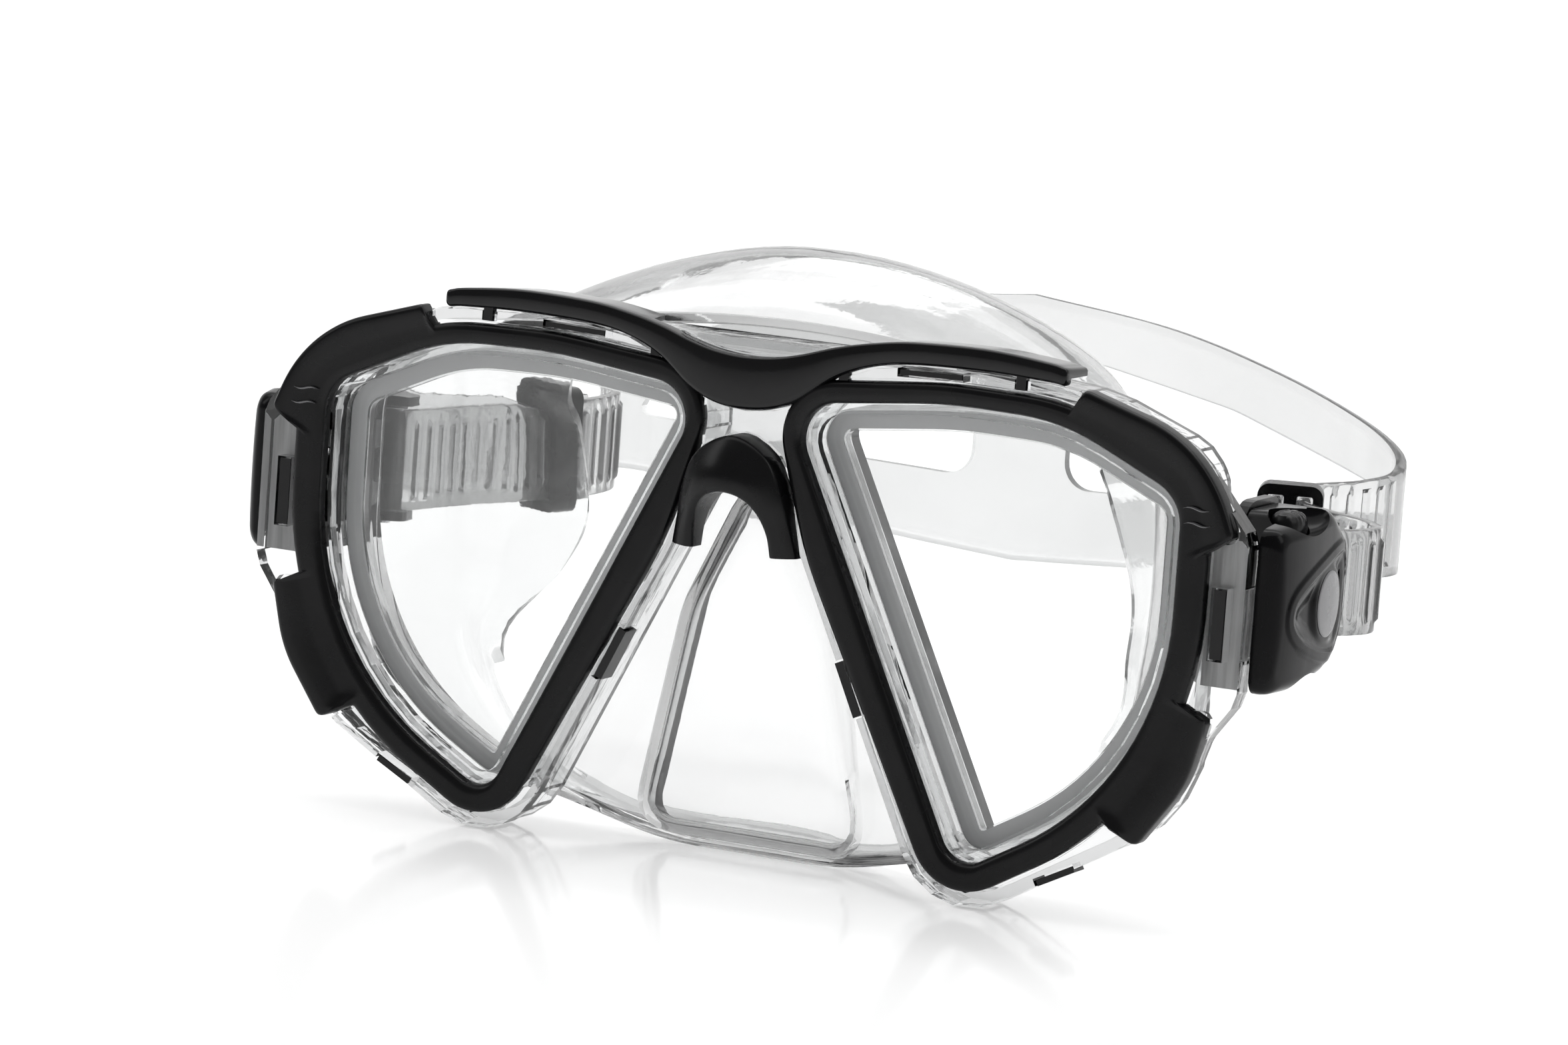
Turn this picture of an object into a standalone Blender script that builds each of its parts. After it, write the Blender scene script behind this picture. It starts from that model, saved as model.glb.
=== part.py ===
"""Two-lens diving mask with a clear frame, black bezels, a silicone skirt, squeeze buckles and a head strap.

The design is drawn in millimetres in the mask's own frame: X across the face with the midline at 0,
Y from the front (negative) towards the wearer (positive), Z up from the lowest point of the frame.
A datum empty moves everything back so that the row's origin is the centre of the bottom of the box.
"""
import math

import bmesh
import bpy
from mathutils import Matrix, Vector

MM = 0.001
MERGE = 0.00002
CENTRE_Y = 48.725         # middle of the whole object, front to back
GAP = 0.3                 # clearance between neighbouring solids

# Front view outlines: corners (x, z, corner radius) of the +X half of the mask
OPENING = ((40.5, 4.9, 5), (73.5, 23.9, 44), (73.5, 66.9, 7), (53, 76.1, 35), (34, 76.5, 80), (6.9, 73.4, 6))
BEZEL_EDGE = ((38.7, -1.0, 9.2), (78.5, 22.0, 49), (78.5, 69.5, 9), (53.5, 79.3, 35), (34, 79.7, 80),
              (4, 76.8, 9), (12, 50.5, 60))
UPPER_PAD = ((56, 76, 0.5), (56, 81.8, 1.2), (77.3, 75.4, 22), (83.2, 61.3, 1.2), (76, 61.3, 0.5))
LOWER_PAD = ((76, 35.2, 0.5), (80.9, 35.2, 1.2), (78.2, 24, 20), (70.8, 13.7, 1.2), (65.5, 16, 0.5))
FRAME_HALF = ((15, 82.4, 30), (36, 82.9, 60), (58, 80.7, 20), (74.4, 74.4, 12), (84.7, 62.2, 3), (84.7, 37.5, 4),
              (80, 31, 3), (75.6, 17.4, 22), (37.5, -4.8, 11.9), (6.2, 60.2, 4))
WALL_HALF = ((15, 82.4, 30), (36, 82.9, 60), (58, 80.7, 20), (74, 74.6, 9), (77.2, 69.5, 6), (77.2, 18.4, 22),
             (37.5, -4.8, 11.9), (6.2, 60.2, 4))
LENS_CENTRE = (43.0, 45.0)
BEZEL_SECTIONS = 48

# Depths along Y
BEZEL_FRONT = -2.5
PAD_FRONT = -3.1
BORDER_FRONT = -1.2       # clear border that stands up round the bezels
FRAME_FACE = 0.3
LEDGE_BACK = 1.8
PLATE_BACK = 3.0
LENS_DEPTH = (2.1, 5.3)
FRAME_BACK = 12.0
WALL_BACK = 9.0
SEAL_FRONT = 5.6
SKIRT_PLATE = 12.6
SHOULDER_Y = 15.3         # the skirt's wall turns in behind this depth
SHOULDER_INSET = 0.4
LEDGE = 1.8               # how far the frame's ledge reaches in front of the glass
COLLAR_INSET = 1.2
SEAL_INSET = 4.6
FRAME_TUBE = 1.8

# Brow bar and nose bridge clip: (x, low z, high z, front y) and (inner x, inner z, outer x, outer z, front y)
BROW = ((0, 71.6, 79.9, -3.4), (5, 72.2, 80.3, -3.4), (9.5, 74.2, 81.3, -3.2), (15, 78.2, 83.0, -2.8),
        (21, 80.6, 84.3, -2.4), (28, 81.7, 85.2, -2.1), (40, 82.0, 85.5, -1.9), (50, 81.7, 84.7, -1.9),
        (52.7, 81.4, 84.2, -1.9))
BROW_TOP_BACK = 6.0
BROW_TAB = (45.8, 0.8, 80.0, 82.6)
BRIDGE = ((6.6, 49.5, 10.8, 49.7, -3.6), (6.2, 53.0, 9.7, 54.5, -4.6), (5.1, 56.2, 8.5, 59.6, -6.2),
          (3.0, 58.4, 6.0, 64.9, -7.5), (0, 59.2, 0, 67.8, -8.2))

# Skirt stations from the forehead to the lip: four points from the plate behind the frame to the free edge
SKIRT = (
    ((0, 84.5), (0, 18, 90.5), (0, 24.5, 94.6), (0, 29, 94.0)),
    ((24, 83), (24, 19.5, 87.5), (24, 27, 91), (23.5, 31, 90.3)),
    ((47, 79), (47, 20, 80.8), (45.5, 28, 82.3), (42.5, 31.5, 80)),
    ((64, 74), (59.5, 20, 72), (55.5, 28, 70.5), (46.5, 31, 67)),
    ((72.6, 66), (62, 21, 64), (57.5, 31.5, 62.5), (47, 36.5, 60)),
    ((73.2, 50), (62, 22.5, 49), (57.5, 35, 47.5), (49, 44, 45.5)),
    ((73.2, 37), (61.5, 22, 37), (57.5, 32.5, 36.5), (51, 39.5, 35.5)),
    ((68.5, 20.5), (59, 20, 23.5), (57.5, 26, 24.5), (53.7, 27.5, 25.5)),
    ((50, 8.6), (46, 16.8, 10.2), (45, 19.5, 11.3), (43.5, 20.2, 12.8)),
    ((30, 3.4), (28, 15.8, 3.4), (27, 18, 3.6), (26.5, 18.8, 5.2)),
    ((15, 0.3), (14, 17.5, 0.2), (13.8, 21.5, 0.3), (13.5, 23, 1.9)),
    ((0, 0), (0, 18.5, 0), (0, 22.5, 0.1), (0, 24.5, 1.9)),
)
SKIRT_SPAN = 2            # pieces between two stations
SKIRT_THICKNESS = 1.8
NOSE_FRONT = ((3.2, 58, 3), (12.5, 39, 25), (20.2, 2.4, 5))
NOSE_BACK = ((5.2, 58.6, 3), (12.8, 42, 25), (19.6, 1.4, 5))
NOSE_SLOPE = 0.067        # the nose panel leans back as it goes down
NOSE_TOP_Y = 4.45

# Buckle, centred on the pivot
PIVOT = (16.5, 52.5)      # y, z of the swivel axis, which runs along X
# The swivel pin's shank, inner head and outer head: x, x, radius
PIN = ((74.0, 81.0, 2.3), (73.3, 74.9, 2.9), (79.8, 81.2, 3.4))
PIN_HOLE_R = 2.6
LUG = ((3, -10, 1), (22.5, -6, 6), (22.5, 6, 6), (3, 10, 1), (1, 10, 0.5), (1, -10, 0.5))
LUG_X = (75.5, 77.3)
HUB_OUTLINE = ((24, -13.6, 3), (24, 13.9, 3), (10.3, 13.9, 3),
               (4.6, 6.5, 7), (4.6, -6.5, 7), (10.3, -13.6, 3))
SHELL_SIDE = ((1.4, -13.9, 3), (18, -13.6, 8), (28.5, -7.6, 5), (28.5, 8.0, 5), (18, 14.2, 8), (1.4, 14.4, 3))
SHELL_PLAN = ((85.3, 1.4, 0.4), (86.6, 1.4, 1), (89.2, 9, 12),
              (90.2, 20, 12), (88.4, 28.6, 2), (85.3, 28.6, 0.4))
SHELL_WALL = 1.5
ROOM_SIDE = ((3.2, -12, 2), (18, -11.8, 6), (34, -9, 2), (34, 9, 2), (18, 12.2, 6), (3.2, 12.4, 2))
ROOM_PLAN = ((84.6, 3.6, 0.3), (86.2, 3.6, 0.3), (87.7, 9, 10),
             (88.6, 20, 10), (87.4, 34, 1), (84.6, 34, 0.3))
STRAP_MOUTH = ((20, -10.6, 1), (36, -10.6, 1), (36, 10.6, 1), (20, 10.6, 1))
BADGE = ((20.3, 51.0), (3.1, 5.4))
BADGE_X = (90.25, 90.75)
BASE_X = (77.6, 79.4)
COVER_X = (79.8, 86.0)
BASE_OUTLINE = ((22.5, -13.6, 1.5), (22.5, 13.6, 1.5), (11.5, 13.6, 5),
                (4.6, 6, 8), (4.6, -6, 8), (11.5, -13.6, 5))
CHEEK = ((77.7, 14.6, 0.5), (85.9, 14.6, 1.5), (86.2, 20, 2), (80.5, 31.2, 2.5), (73.6, 31.2, 2),
         (72.4, 26, 2), (74.6, 24.2, 1), (77.7, 21.5, 0.5))
CHEEK_Z = (8.6, 10.1)
ROLLER = (76.0, 27.5)     # x, y of the roller's axis
ROLLER_R = 2.2
ROLLER_Z = (-8.2, 8.2)
AXLE_R = 0.9
AXLE_Z = (-10.8, 10.8)
PAWL_PIN = (84.0, 17.5)
PAWL_PIN_R = 0.8
PAWL_PIN_Z = (-10.1, 10.1)
PAWL_Z = (-6.5, 6.5)
PAWL = ((85.6, 16.6, 0.8), (85.6, 18.6, 0.8), (81.1, 25.0, 0.3), (79.9, 24.5, 0.3), (81.8, 21.9, 0.4),
        (82.6, 16.2, 0.8))
BUTTON = (84.4, 14.4)     # x, y of the thumb button's middle
BUTTON_HALF = (2.6, 3.7)
BUTTON_CAP_Z = (11.3, 14.9)
BUTTON_FLANGE = ((84.4, 14.95), (2.3, 3.95))
BUTTON_FLANGE_Z = (11.1, 11.5)
STEM_Y = 12.0
STEM_END = 5.4
STEM_R = 1.1
SPRING_HALF = 4.7         # half its height between the stems
SPRING_R = 1.3
SPRING_WIRE_R = 0.28
SPRING_TURNS = 4
SPRING_SIDES = 7          # straight runs in a turn

# Strap route seen from above, from the tail to the back of the head: (x, y, low z, high z)
STRAP_ENDS = (PIVOT[1] - 8.2, PIVOT[1] + 8.2)
STRAP_BACK = ((62.4, 77, 44.5, 60.8), (68.4, 85.2, 45.2, 61.4), (71.2, 92, 45.6, 62.6),
              (69.0, 97.6, 45.2, 65.2), (61, 100.9, 44.2, 69.2), (45, 102.8, 42.2, 74.8),
              (25, 104.2, 39.6, 79.6), (0, 104.7, 37.8, 82.4))
TAIL_LOOP = ((77.2, 50.6), (84.6, 46.2), (88.6, 40.2), (87.4, 34.4), (83.2, 30.0))
INNER_RUN = ((70.6, 36), (68.0, 46))
STRAP_THICKNESS = 1.9
CUTOUT = ((8.5, 50.9, 4.5), (45, 52.0, 30), (68.6, 54.8, 1.5),
          (66.6, 58.3, 1.8), (38, 67.6, 30), (8.5, 73.0, 4.5))
KEEPER = (65.8, 61.0)
KEEPER_ANGLE = math.radians(20)
KEEPER_LAYER = 2.3        # each strap layer's distance from the keeper's middle
KEEPER_HALF = (5.2, 10.3)
KEEPER_LENGTH = 5.0


# ---------------------------------------------------------------- scene set-up and materials

def clear_scene():
    for old in list(bpy.data.objects):
        bpy.data.objects.remove(old, do_unlink=True)


def collection(name):
    made = bpy.data.collections.new(name)
    bpy.context.scene.collection.children.link(made)
    return made


clear_scene()
PARTS = collection("diving_mask")
CUTTERS = collection("cutters")
DATUM = bpy.data.objects.new("mask_datum", None)
DATUM.location = (0, -CENTRE_Y * MM, 0)
PARTS.objects.link(DATUM)


def material(name, colour, roughness, metallic=0.0, clear=0.0):
    made = bpy.data.materials.new(name)
    made.use_nodes = True
    shader = made.node_tree.nodes["Principled BSDF"]
    shader.inputs["Base Color"].default_value = (*colour, 1)
    shader.inputs["Roughness"].default_value = roughness
    shader.inputs["Metallic"].default_value = metallic
    shader.inputs["Transmission Weight"].default_value = clear
    return made


CLEAR = material("clear_polycarbonate", (0.95, 0.96, 0.96), 0.05, clear=1.0)
GLASS = material("tempered_glass", (0.97, 0.98, 0.98), 0.02, clear=1.0)
SILICONE = material("clear_silicone", (0.93, 0.94, 0.94), 0.22, clear=0.9)
BLACK = material("black_satin", (0.02, 0.02, 0.021), 0.38)
GLOSS = material("black_gloss", (0.012, 0.012, 0.013), 0.16)
BADGE_GREY = material("badge_grey", (0.22, 0.22, 0.23), 0.3)
STEEL = material("stainless_steel", (0.62, 0.62, 0.63), 0.25, metallic=1.0)


# ---------------------------------------------------------------- outlines

def arc_points(before, corner, after, radius):
    """Points of the rounded corner between two straight sides."""
    to_before = (Vector(before) - Vector(corner)).normalized()
    to_after = (Vector(after) - Vector(corner)).normalized()
    inside = to_before.angle(to_after)
    reach = radius / math.tan(inside / 2)
    first = Vector(corner) + to_before * reach
    last = Vector(corner) + to_after * reach
    centre = Vector(corner) + (to_before + to_after).normalized() * (radius / math.sin(inside / 2))
    turn = math.pi - inside
    facet = math.radians(20 if radius > 4 else 45)
    steps = max(1, math.ceil(turn / facet), math.ceil(turn * radius / 6.0))
    start = first - centre
    sign = 1 if start.x * (last - centre).y - start.y * (last - centre).x > 0 else -1
    return [centre + Matrix.Rotation(sign * turn * k / steps, 2) @ start for k in range(steps + 1)]


def rounded(corners):
    """A closed outline with its corners rounded, counter-clockwise or clockwise as given."""
    points = []
    count = len(corners)
    for k, (x, z, radius) in enumerate(corners):
        before = corners[k - 1][:2]
        after = corners[(k + 1) % count][:2]
        points += arc_points(before, (x, z), after, radius)
    return points


def both_halves(half):
    """Corners of the +X half, listed from the middle outwards, joined to their mirror image."""
    return list(half) + [(-x, z, r) for x, z, r in reversed(half)]


def signed_area(points):
    return sum(a.x * b.y - b.x * a.y for a, b in zip(points, points[1:] + points[:1])) / 2


def offset(points, distance):
    """The outline moved outwards by a distance, or inwards where it is negative."""
    turn = 1 if signed_area(points) > 0 else -1
    count = len(points)
    moved = []
    for k, point in enumerate(points):
        ahead = (points[(k + 1) % count] - point).normalized()
        behind = (point - points[k - 1]).normalized()
        normal_a = Vector((ahead.y, -ahead.x)) * turn
        normal_b = Vector((behind.y, -behind.x)) * turn
        normal = (normal_a + normal_b).normalized()
        moved.append(point + normal * (distance / max(0.3, normal.dot(normal_a))))
    return moved


def polar(points, centre, count, start=0.0):
    """The outline's points at equal angles about a centre inside it."""
    middle = Vector(centre)
    result = []
    for k in range(count):
        angle = start + 2 * math.pi * k / count
        ray = Vector((math.cos(angle), math.sin(angle)))
        reach = []
        for a, b in zip(points, points[1:] + points[:1]):
            side = b - a
            across = ray.x * side.y - ray.y * side.x
            if abs(across) < 1e-9:
                continue
            to_a = a - middle
            along = (to_a.x * side.y - to_a.y * side.x) / across
            share = (to_a.x * ray.y - to_a.y * ray.x) / across
            if along > 0 and -1e-6 <= share <= 1 + 1e-6:
                reach.append(along)
        result.append(middle + ray * max(reach))
    return result


def catmull(keys, per_span, closed=False):
    """A smooth run through rows of numbers."""
    rows = [tuple(row) for row in keys]
    count = len(rows)
    spans = count if closed else count - 1
    smooth = []
    for k in range(spans):
        p1 = rows[k]
        p2 = rows[(k + 1) % count]
        p0 = rows[k - 1] if closed or k > 0 else tuple(2 * a - b for a, b in zip(p1, p2))
        p3 = rows[(k + 2) % count] if closed or k + 2 < count else tuple(2 * b - a for a, b in zip(p1, p2))
        for step in range(per_span):
            t = step / per_span
            smooth.append(tuple(0.5 * (2 * b + (c - a) * t + (2 * a - 5 * b + 4 * c - d) * t * t
                                       + (3 * b - a - 3 * c + d) * t ** 3)
                                 for a, b, c, d in zip(p0, p1, p2, p3)))
    if not closed:
        smooth.append(rows[-1])
    return smooth


# ---------------------------------------------------------------- solids

def add_object(name, mesh, paint, group=PARTS):
    made = bpy.data.objects.new(name, mesh)
    group.objects.link(made)
    made.parent = DATUM
    mesh.materials.clear()
    mesh.materials.append(paint)
    return made


def mesh_from(bm, name):
    bmesh.ops.remove_doubles(bm, verts=bm.verts, dist=MERGE)
    bmesh.ops.recalc_face_normals(bm, faces=bm.faces)
    mesh = bpy.data.meshes.new(name)
    bm.to_mesh(mesh)
    bm.free()
    return mesh


AXIS_TURN = {
    "Z": Matrix.Identity(4),
    "Y": Matrix(((1, 0, 0, 0), (0, 0, 1, 0), (0, 1, 0, 0), (0, 0, 0, 1))),
    "X": Matrix(((0, 0, 1, 0), (1, 0, 0, 0), (0, 1, 0, 0), (0, 0, 0, 1))),
}


def prism(name, outlines, axis, low, high, paint=BLACK, group=PARTS):
    """A plate: flat outlines, the outer one first and holes after it, thick along one axis."""
    curve = bpy.data.curves.new(name, "CURVE")
    curve.dimensions = "2D"
    curve.fill_mode = "BOTH"
    curve.extrude = (high - low) / 2 * MM
    for outline in outlines:
        spline = curve.splines.new("POLY")
        spline.points.add(len(outline) - 1)
        for slot, point in zip(spline.points, outline):
            slot.co = (point[0] * MM, point[1] * MM, 0, 1)
        spline.use_cyclic_u = True
    flat = bpy.data.objects.new(name + "_outline", curve)
    bpy.context.scene.collection.objects.link(flat)
    graph = bpy.context.evaluated_depsgraph_get()
    mesh = bpy.data.meshes.new_from_object(flat.evaluated_get(graph))
    bpy.data.objects.remove(flat, do_unlink=True)
    bpy.data.curves.remove(curve)
    bm = bmesh.new()
    bm.from_mesh(mesh)
    bpy.data.meshes.remove(mesh)
    bmesh.ops.translate(bm, verts=bm.verts, vec=(0, 0, (low + high) / 2 * MM))
    bmesh.ops.transform(bm, verts=bm.verts, matrix=AXIS_TURN[axis])
    return add_object(name, mesh_from(bm, name), paint, group)


def loft(name, sections, paint=BLACK, closed=False, group=PARTS):
    """A solid through a row of sections with the same number of points, each a closed ring."""
    bm = bmesh.new()
    rings = [[bm.verts.new(Vector(point) * MM) for point in section] for section in sections]
    size = len(rings[0])
    pairs = list(zip(rings, rings[1:]))
    if closed:
        pairs.append((rings[-1], rings[0]))
    for a, b in pairs:
        for k in range(size):
            following = (k + 1) % size
            bm.faces.new((a[k], a[following], b[following], b[k]))
    if not closed:
        bm.faces.new(rings[0])
        bm.faces.new(list(reversed(rings[-1])))
    return add_object(name, mesh_from(bm, name), paint, group)


def cylinder(name, axis, centre, low, high, radius, segments=16, paint=BLACK, group=PARTS):
    """A round bar along X or Z. Its centre is given by the other two coordinates, in X, Y, Z order."""
    bm = bmesh.new()
    bmesh.ops.create_cone(bm, cap_ends=True, segments=segments, radius1=radius * MM, radius2=radius * MM,
                          depth=(high - low) * MM)
    bmesh.ops.translate(bm, verts=bm.verts, vec=(0, 0, (low + high) / 2 * MM))
    bmesh.ops.transform(bm, verts=bm.verts, matrix=AXIS_TURN[axis])
    shift = {"Z": (centre[0], centre[1], 0), "X": (0, centre[0], centre[1])}[axis]
    bmesh.ops.translate(bm, verts=bm.verts, vec=Vector(shift) * MM)
    return add_object(name, mesh_from(bm, name), paint, group)


def ellipse(centre, half, count=20):
    return [(centre[0] + half[0] * math.cos(2 * math.pi * k / count),
             centre[1] + half[1] * math.sin(2 * math.pi * k / count)) for k in range(count)]


def combine(target, tool, operation):
    """Joins, cuts or crosses a solid with another, which becomes a hidden tool."""
    for group in list(tool.users_collection):
        group.objects.unlink(tool)
    CUTTERS.objects.link(tool)
    tool.hide_render = True
    tool.display_type = "WIRE"
    step = target.modifiers.new(operation.lower(), "BOOLEAN")
    step.operation = operation
    step.solver = "EXACT"
    step.object = tool
    return target


def join(target, *tools):
    for tool in tools:
        combine(target, tool, "UNION")
    return target


def cut(target, *tools):
    for tool in tools:
        combine(target, tool, "DIFFERENCE")
    return target


def bevel(target, width, segments=2, angle=35):
    step = target.modifiers.new("edge", "BEVEL")
    step.width = width * MM
    step.segments = segments
    step.limit_method = "ANGLE"
    step.angle_limit = math.radians(angle)
    return target


def bake(target, merge_flats=True):
    """Turns the modifiers into plain mesh, so the piece can be mirrored."""
    graph = bpy.context.evaluated_depsgraph_get()
    graph.update()
    mesh = bpy.data.meshes.new_from_object(target.evaluated_get(graph))
    target.modifiers.clear()
    if merge_flats:
        bm = bmesh.new()
        bm.from_mesh(mesh)
        bmesh.ops.dissolve_limit(bm, angle_limit=math.radians(0.5), verts=bm.verts, edges=bm.edges)
        bm.to_mesh(mesh)
        bm.free()
    target.data = mesh
    return target


def keep_main_body(target):
    """Drops the specks that an offset surface leaves where it folds."""
    bm = bmesh.new()
    bm.from_mesh(target.data)
    waiting = set(bm.verts)
    main = set()
    while waiting:
        group = {waiting.pop()}
        front = list(group)
        while front:
            vert = front.pop()
            near = {edge.other_vert(vert) for edge in vert.link_edges} - group
            group |= near
            front += near
        waiting -= group
        if len(group) > len(main):
            main = group
    bmesh.ops.delete(bm, geom=[vert for vert in bm.verts if vert not in main], context="VERTS")
    bmesh.ops.remove_doubles(bm, verts=bm.verts, dist=MERGE)
    bmesh.ops.dissolve_degenerate(bm, edges=bm.edges, dist=MERGE)
    bm.to_mesh(target.data)
    bm.free()


def set_origin(target, place):
    """Puts the piece's origin on a point of its joint axis."""
    target.data.transform(Matrix.Translation(-Vector(place) * MM))
    target.location = Vector(place) * MM


def smooth(target, angle=32):
    target.data.shade_smooth()
    target.data.set_sharp_from_angle(angle=math.radians(angle))


def pair(target, name, origin=(0, 0, 0)):
    """Names the +X piece as the wearer's left one and makes the right one as its mirror image."""
    bake(target)
    target.name = name + "_left"
    flipped = target.data.copy()
    flipped.transform(Matrix.Scale(-1, 4, (1, 0, 0)))
    flipped.flip_normals()
    other = bpy.data.objects.new(name + "_right", flipped)
    PARTS.objects.link(other)
    other.parent = DATUM
    set_origin(target, origin)
    set_origin(other, (-origin[0], origin[1], origin[2]))
    smooth(target)
    smooth(other)


# ---------------------------------------------------------------- front: frame, bezels, lenses

def mirrored_outline(points):
    return [Vector((-point[0], point[1])) for point in points]


def bezel_ring(name, inner, outer, paint=GLOSS, group=PARTS, front=BEZEL_FRONT, back=0.0):
    """A rounded ring between two outlines, swept round the lens."""
    inside = polar(inner, LENS_CENTRE, BEZEL_SECTIONS)
    outside = polar(outer, LENS_CENTRE, BEZEL_SECTIONS)
    sections = []
    for near, far in zip(inside, outside):
        across = (far - near).normalized()
        sections.append(((near.x, back, near.y), (near.x, front + 0.9, near.y),
                         (near.x + across.x * 0.9, front, near.y + across.y * 0.9),
                         (far.x - across.x * 0.9, front, far.y - across.y * 0.9),
                         (far.x, front + 0.9, far.y), (far.x, back, far.y)))
    return loft(name, sections, paint, closed=True, group=group)


def lens_ring():
    ring = bezel_ring("ring", rounded(OPENING), rounded(BEZEL_EDGE))
    pads = [bevel(prism("pad", [rounded(corners)], "Y", PAD_FRONT, -0.02), 0.8)
            for corners in (UPPER_PAD, LOWER_PAD)]
    join(ring, *pads)
    cut(ring, prism("bar_step", [brow_outline(GAP)], "Y", -5, 0.1))
    pair(ring, "lens_ring")


def front_view_boxes(x, z):
    return [Vector((x[0], z[0])), Vector((x[1], z[0])), Vector((x[1], z[1])), Vector((x[0], z[1]))]


def bar_along(a, b, width):
    """A narrow rectangle between two points of the front view."""
    start, end = Vector(a), Vector(b)
    along = (end - start).normalized()
    side = Vector((-along.y, along.x)) * (width / 2)
    return [start - side, end - side, end + side, start + side]


TABS = {
    "top_snap_tab": ((25.4, 80.35), (35.8, 80.65), 0.8),
    "side_snap_tab": ((80.6, 43.5), (80.6, 54.0), 1.9),
    "nasal_snap_tab": ((18.7, 34.7), (22.5, 26.7), 1.4),
    "bottom_snap_tab": ((54.6, 5.6), (60.4, 8.6), 1.0),
}


def widened(tab, extra):
    start, end, width = Vector(tab[0]), Vector(tab[1]), tab[2]
    along = (end - start).normalized() * extra
    return bar_along(start - along, end + along, width + 2 * extra)


def snap_tabs():
    """The bezel's snap feet, which stand in slots of the clear frame."""
    for name, tab in TABS.items():
        pair(prism(name, [bar_along(*tab)], "Y", -0.9, PLATE_BACK - 0.2, GLOSS), name)


def brow_outline(extra):
    """The brow bar's front view, widened all round."""
    reach = [x for x, low, high, front in BROW[:-1]] + [BROW[-1][0] + extra]
    top = [Vector((x, station[2] + extra)) for x, station in zip(reach, BROW)]
    bottom = [Vector((x, station[1] - extra)) for x, station in zip(reach, BROW)]
    return mirrored_outline(top[:0:-1]) + top + bottom[::-1] + mirrored_outline(bottom[1:])


def bridge_run():
    """The clip's inner and outer line and its front, smooth from foot to foot."""
    mirrored = [(-x_in, z_in, -x_out, z_out, front) for x_in, z_in, x_out, z_out, front in BRIDGE[-2::-1]]
    return catmull(list(BRIDGE) + mirrored, 3)


def bridge_outline(extra):
    outer = [Vector((x_out, z_out)) for x_in, z_in, x_out, z_out, front in bridge_run()]
    foot = BRIDGE[0][1]
    return offset([Vector((outer[0].x, foot))] + outer + [Vector((outer[-1].x, foot))], extra)


def lens_pocket(side, distance, low, high, name):
    points = offset(rounded(OPENING), distance)
    if side < 0:
        points = mirrored_outline(points)
    return prism(name, [points], "Y", low, high)


def tube(side, inner, outer, low, high, name):
    rings = [offset(rounded(OPENING), outer), offset(rounded(OPENING), inner)]
    if side < 0:
        rings = [mirrored_outline(ring) for ring in rings]
    return prism(name, rings, "Y", low, high, CLEAR, CUTTERS)


def frame():
    """The clear frame: a front plate with a border, a tube round each lens, an edge wall and two lugs."""
    plate = prism("frame", [rounded(both_halves(FRAME_HALF))], "Y", BORDER_FRONT, PLATE_BACK, CLEAR)
    edge = rounded(both_halves(WALL_HALF))
    wall = [offset(edge, -0.2), offset(edge, -FRAME_TUBE - 0.2)]
    join(plate, prism("edge_wall", wall, "Y", 2.5, WALL_BACK, CLEAR))
    for side in (1, -1):
        join(plate, tube(side, -0.6, GAP + FRAME_TUBE, 2.4, FRAME_BACK, "lens_tube"))
        low, high = sorted((side * LUG_X[0], side * LUG_X[1]))
        join(plate, prism("lug", [at_pivot(LUG)], "X", low, high, CLEAR))
    for side in (1, -1):
        rings = [offset(polar(rounded(BEZEL_EDGE), LENS_CENTRE, BEZEL_SECTIONS), GAP + 0.05)]
        rings += [offset(rounded(pad), GAP) for pad in (UPPER_PAD, LOWER_PAD)]
        for ring in rings:
            shape = ring if side > 0 else mirrored_outline(ring)
            cut(plate, prism("bezel_seat", [shape], "Y", -5, FRAME_FACE))
        cut(plate, lens_pocket(side, -LEDGE, -5, 20, "ledge_hole"))
        cut(plate, lens_pocket(side, GAP, LEDGE_BACK, 20, "glass_pocket"))
        low, high = sorted((side * 70, side * 80))
        cut(plate, cylinder("pin_hole", "X", PIVOT, low, high, PIN_HOLE_R))
        for tab in TABS.values():
            slot = widened(tab, GAP)
            shape = slot if side > 0 else mirrored_outline(slot)
            cut(plate, prism("tab_slot", [shape], "Y", -5, PLATE_BACK + 0.2))
    cut(plate, prism("bridge_seat", [bridge_outline(GAP)], "Y", -5, FRAME_FACE))
    cut(plate, prism("brow_seat", [brow_outline(GAP)], "Y", -5, FRAME_FACE))
    for side in (1, -1):
        seat = tab_box(side, GAP)
        cut(plate, prism("bar_tab_seat", [seat], "Y", -5, FRAME_FACE))
    for step in plate.modifiers:
        step.solver = "MANIFOLD"
    bake(plate, merge_flats=False)
    smooth(plate)


def lens():
    pair(prism("glass", [rounded(OPENING)], "Y", *LENS_DEPTH, GLASS), "lens")


def tab_box(side, extra):
    """Front view of the tab that joins the brow bar to the bezel."""
    x, half, low, high = BROW_TAB
    span = sorted((side * (x - half - extra), side * (x + half + extra)))
    return front_view_boxes(span, (low, high))


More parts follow.
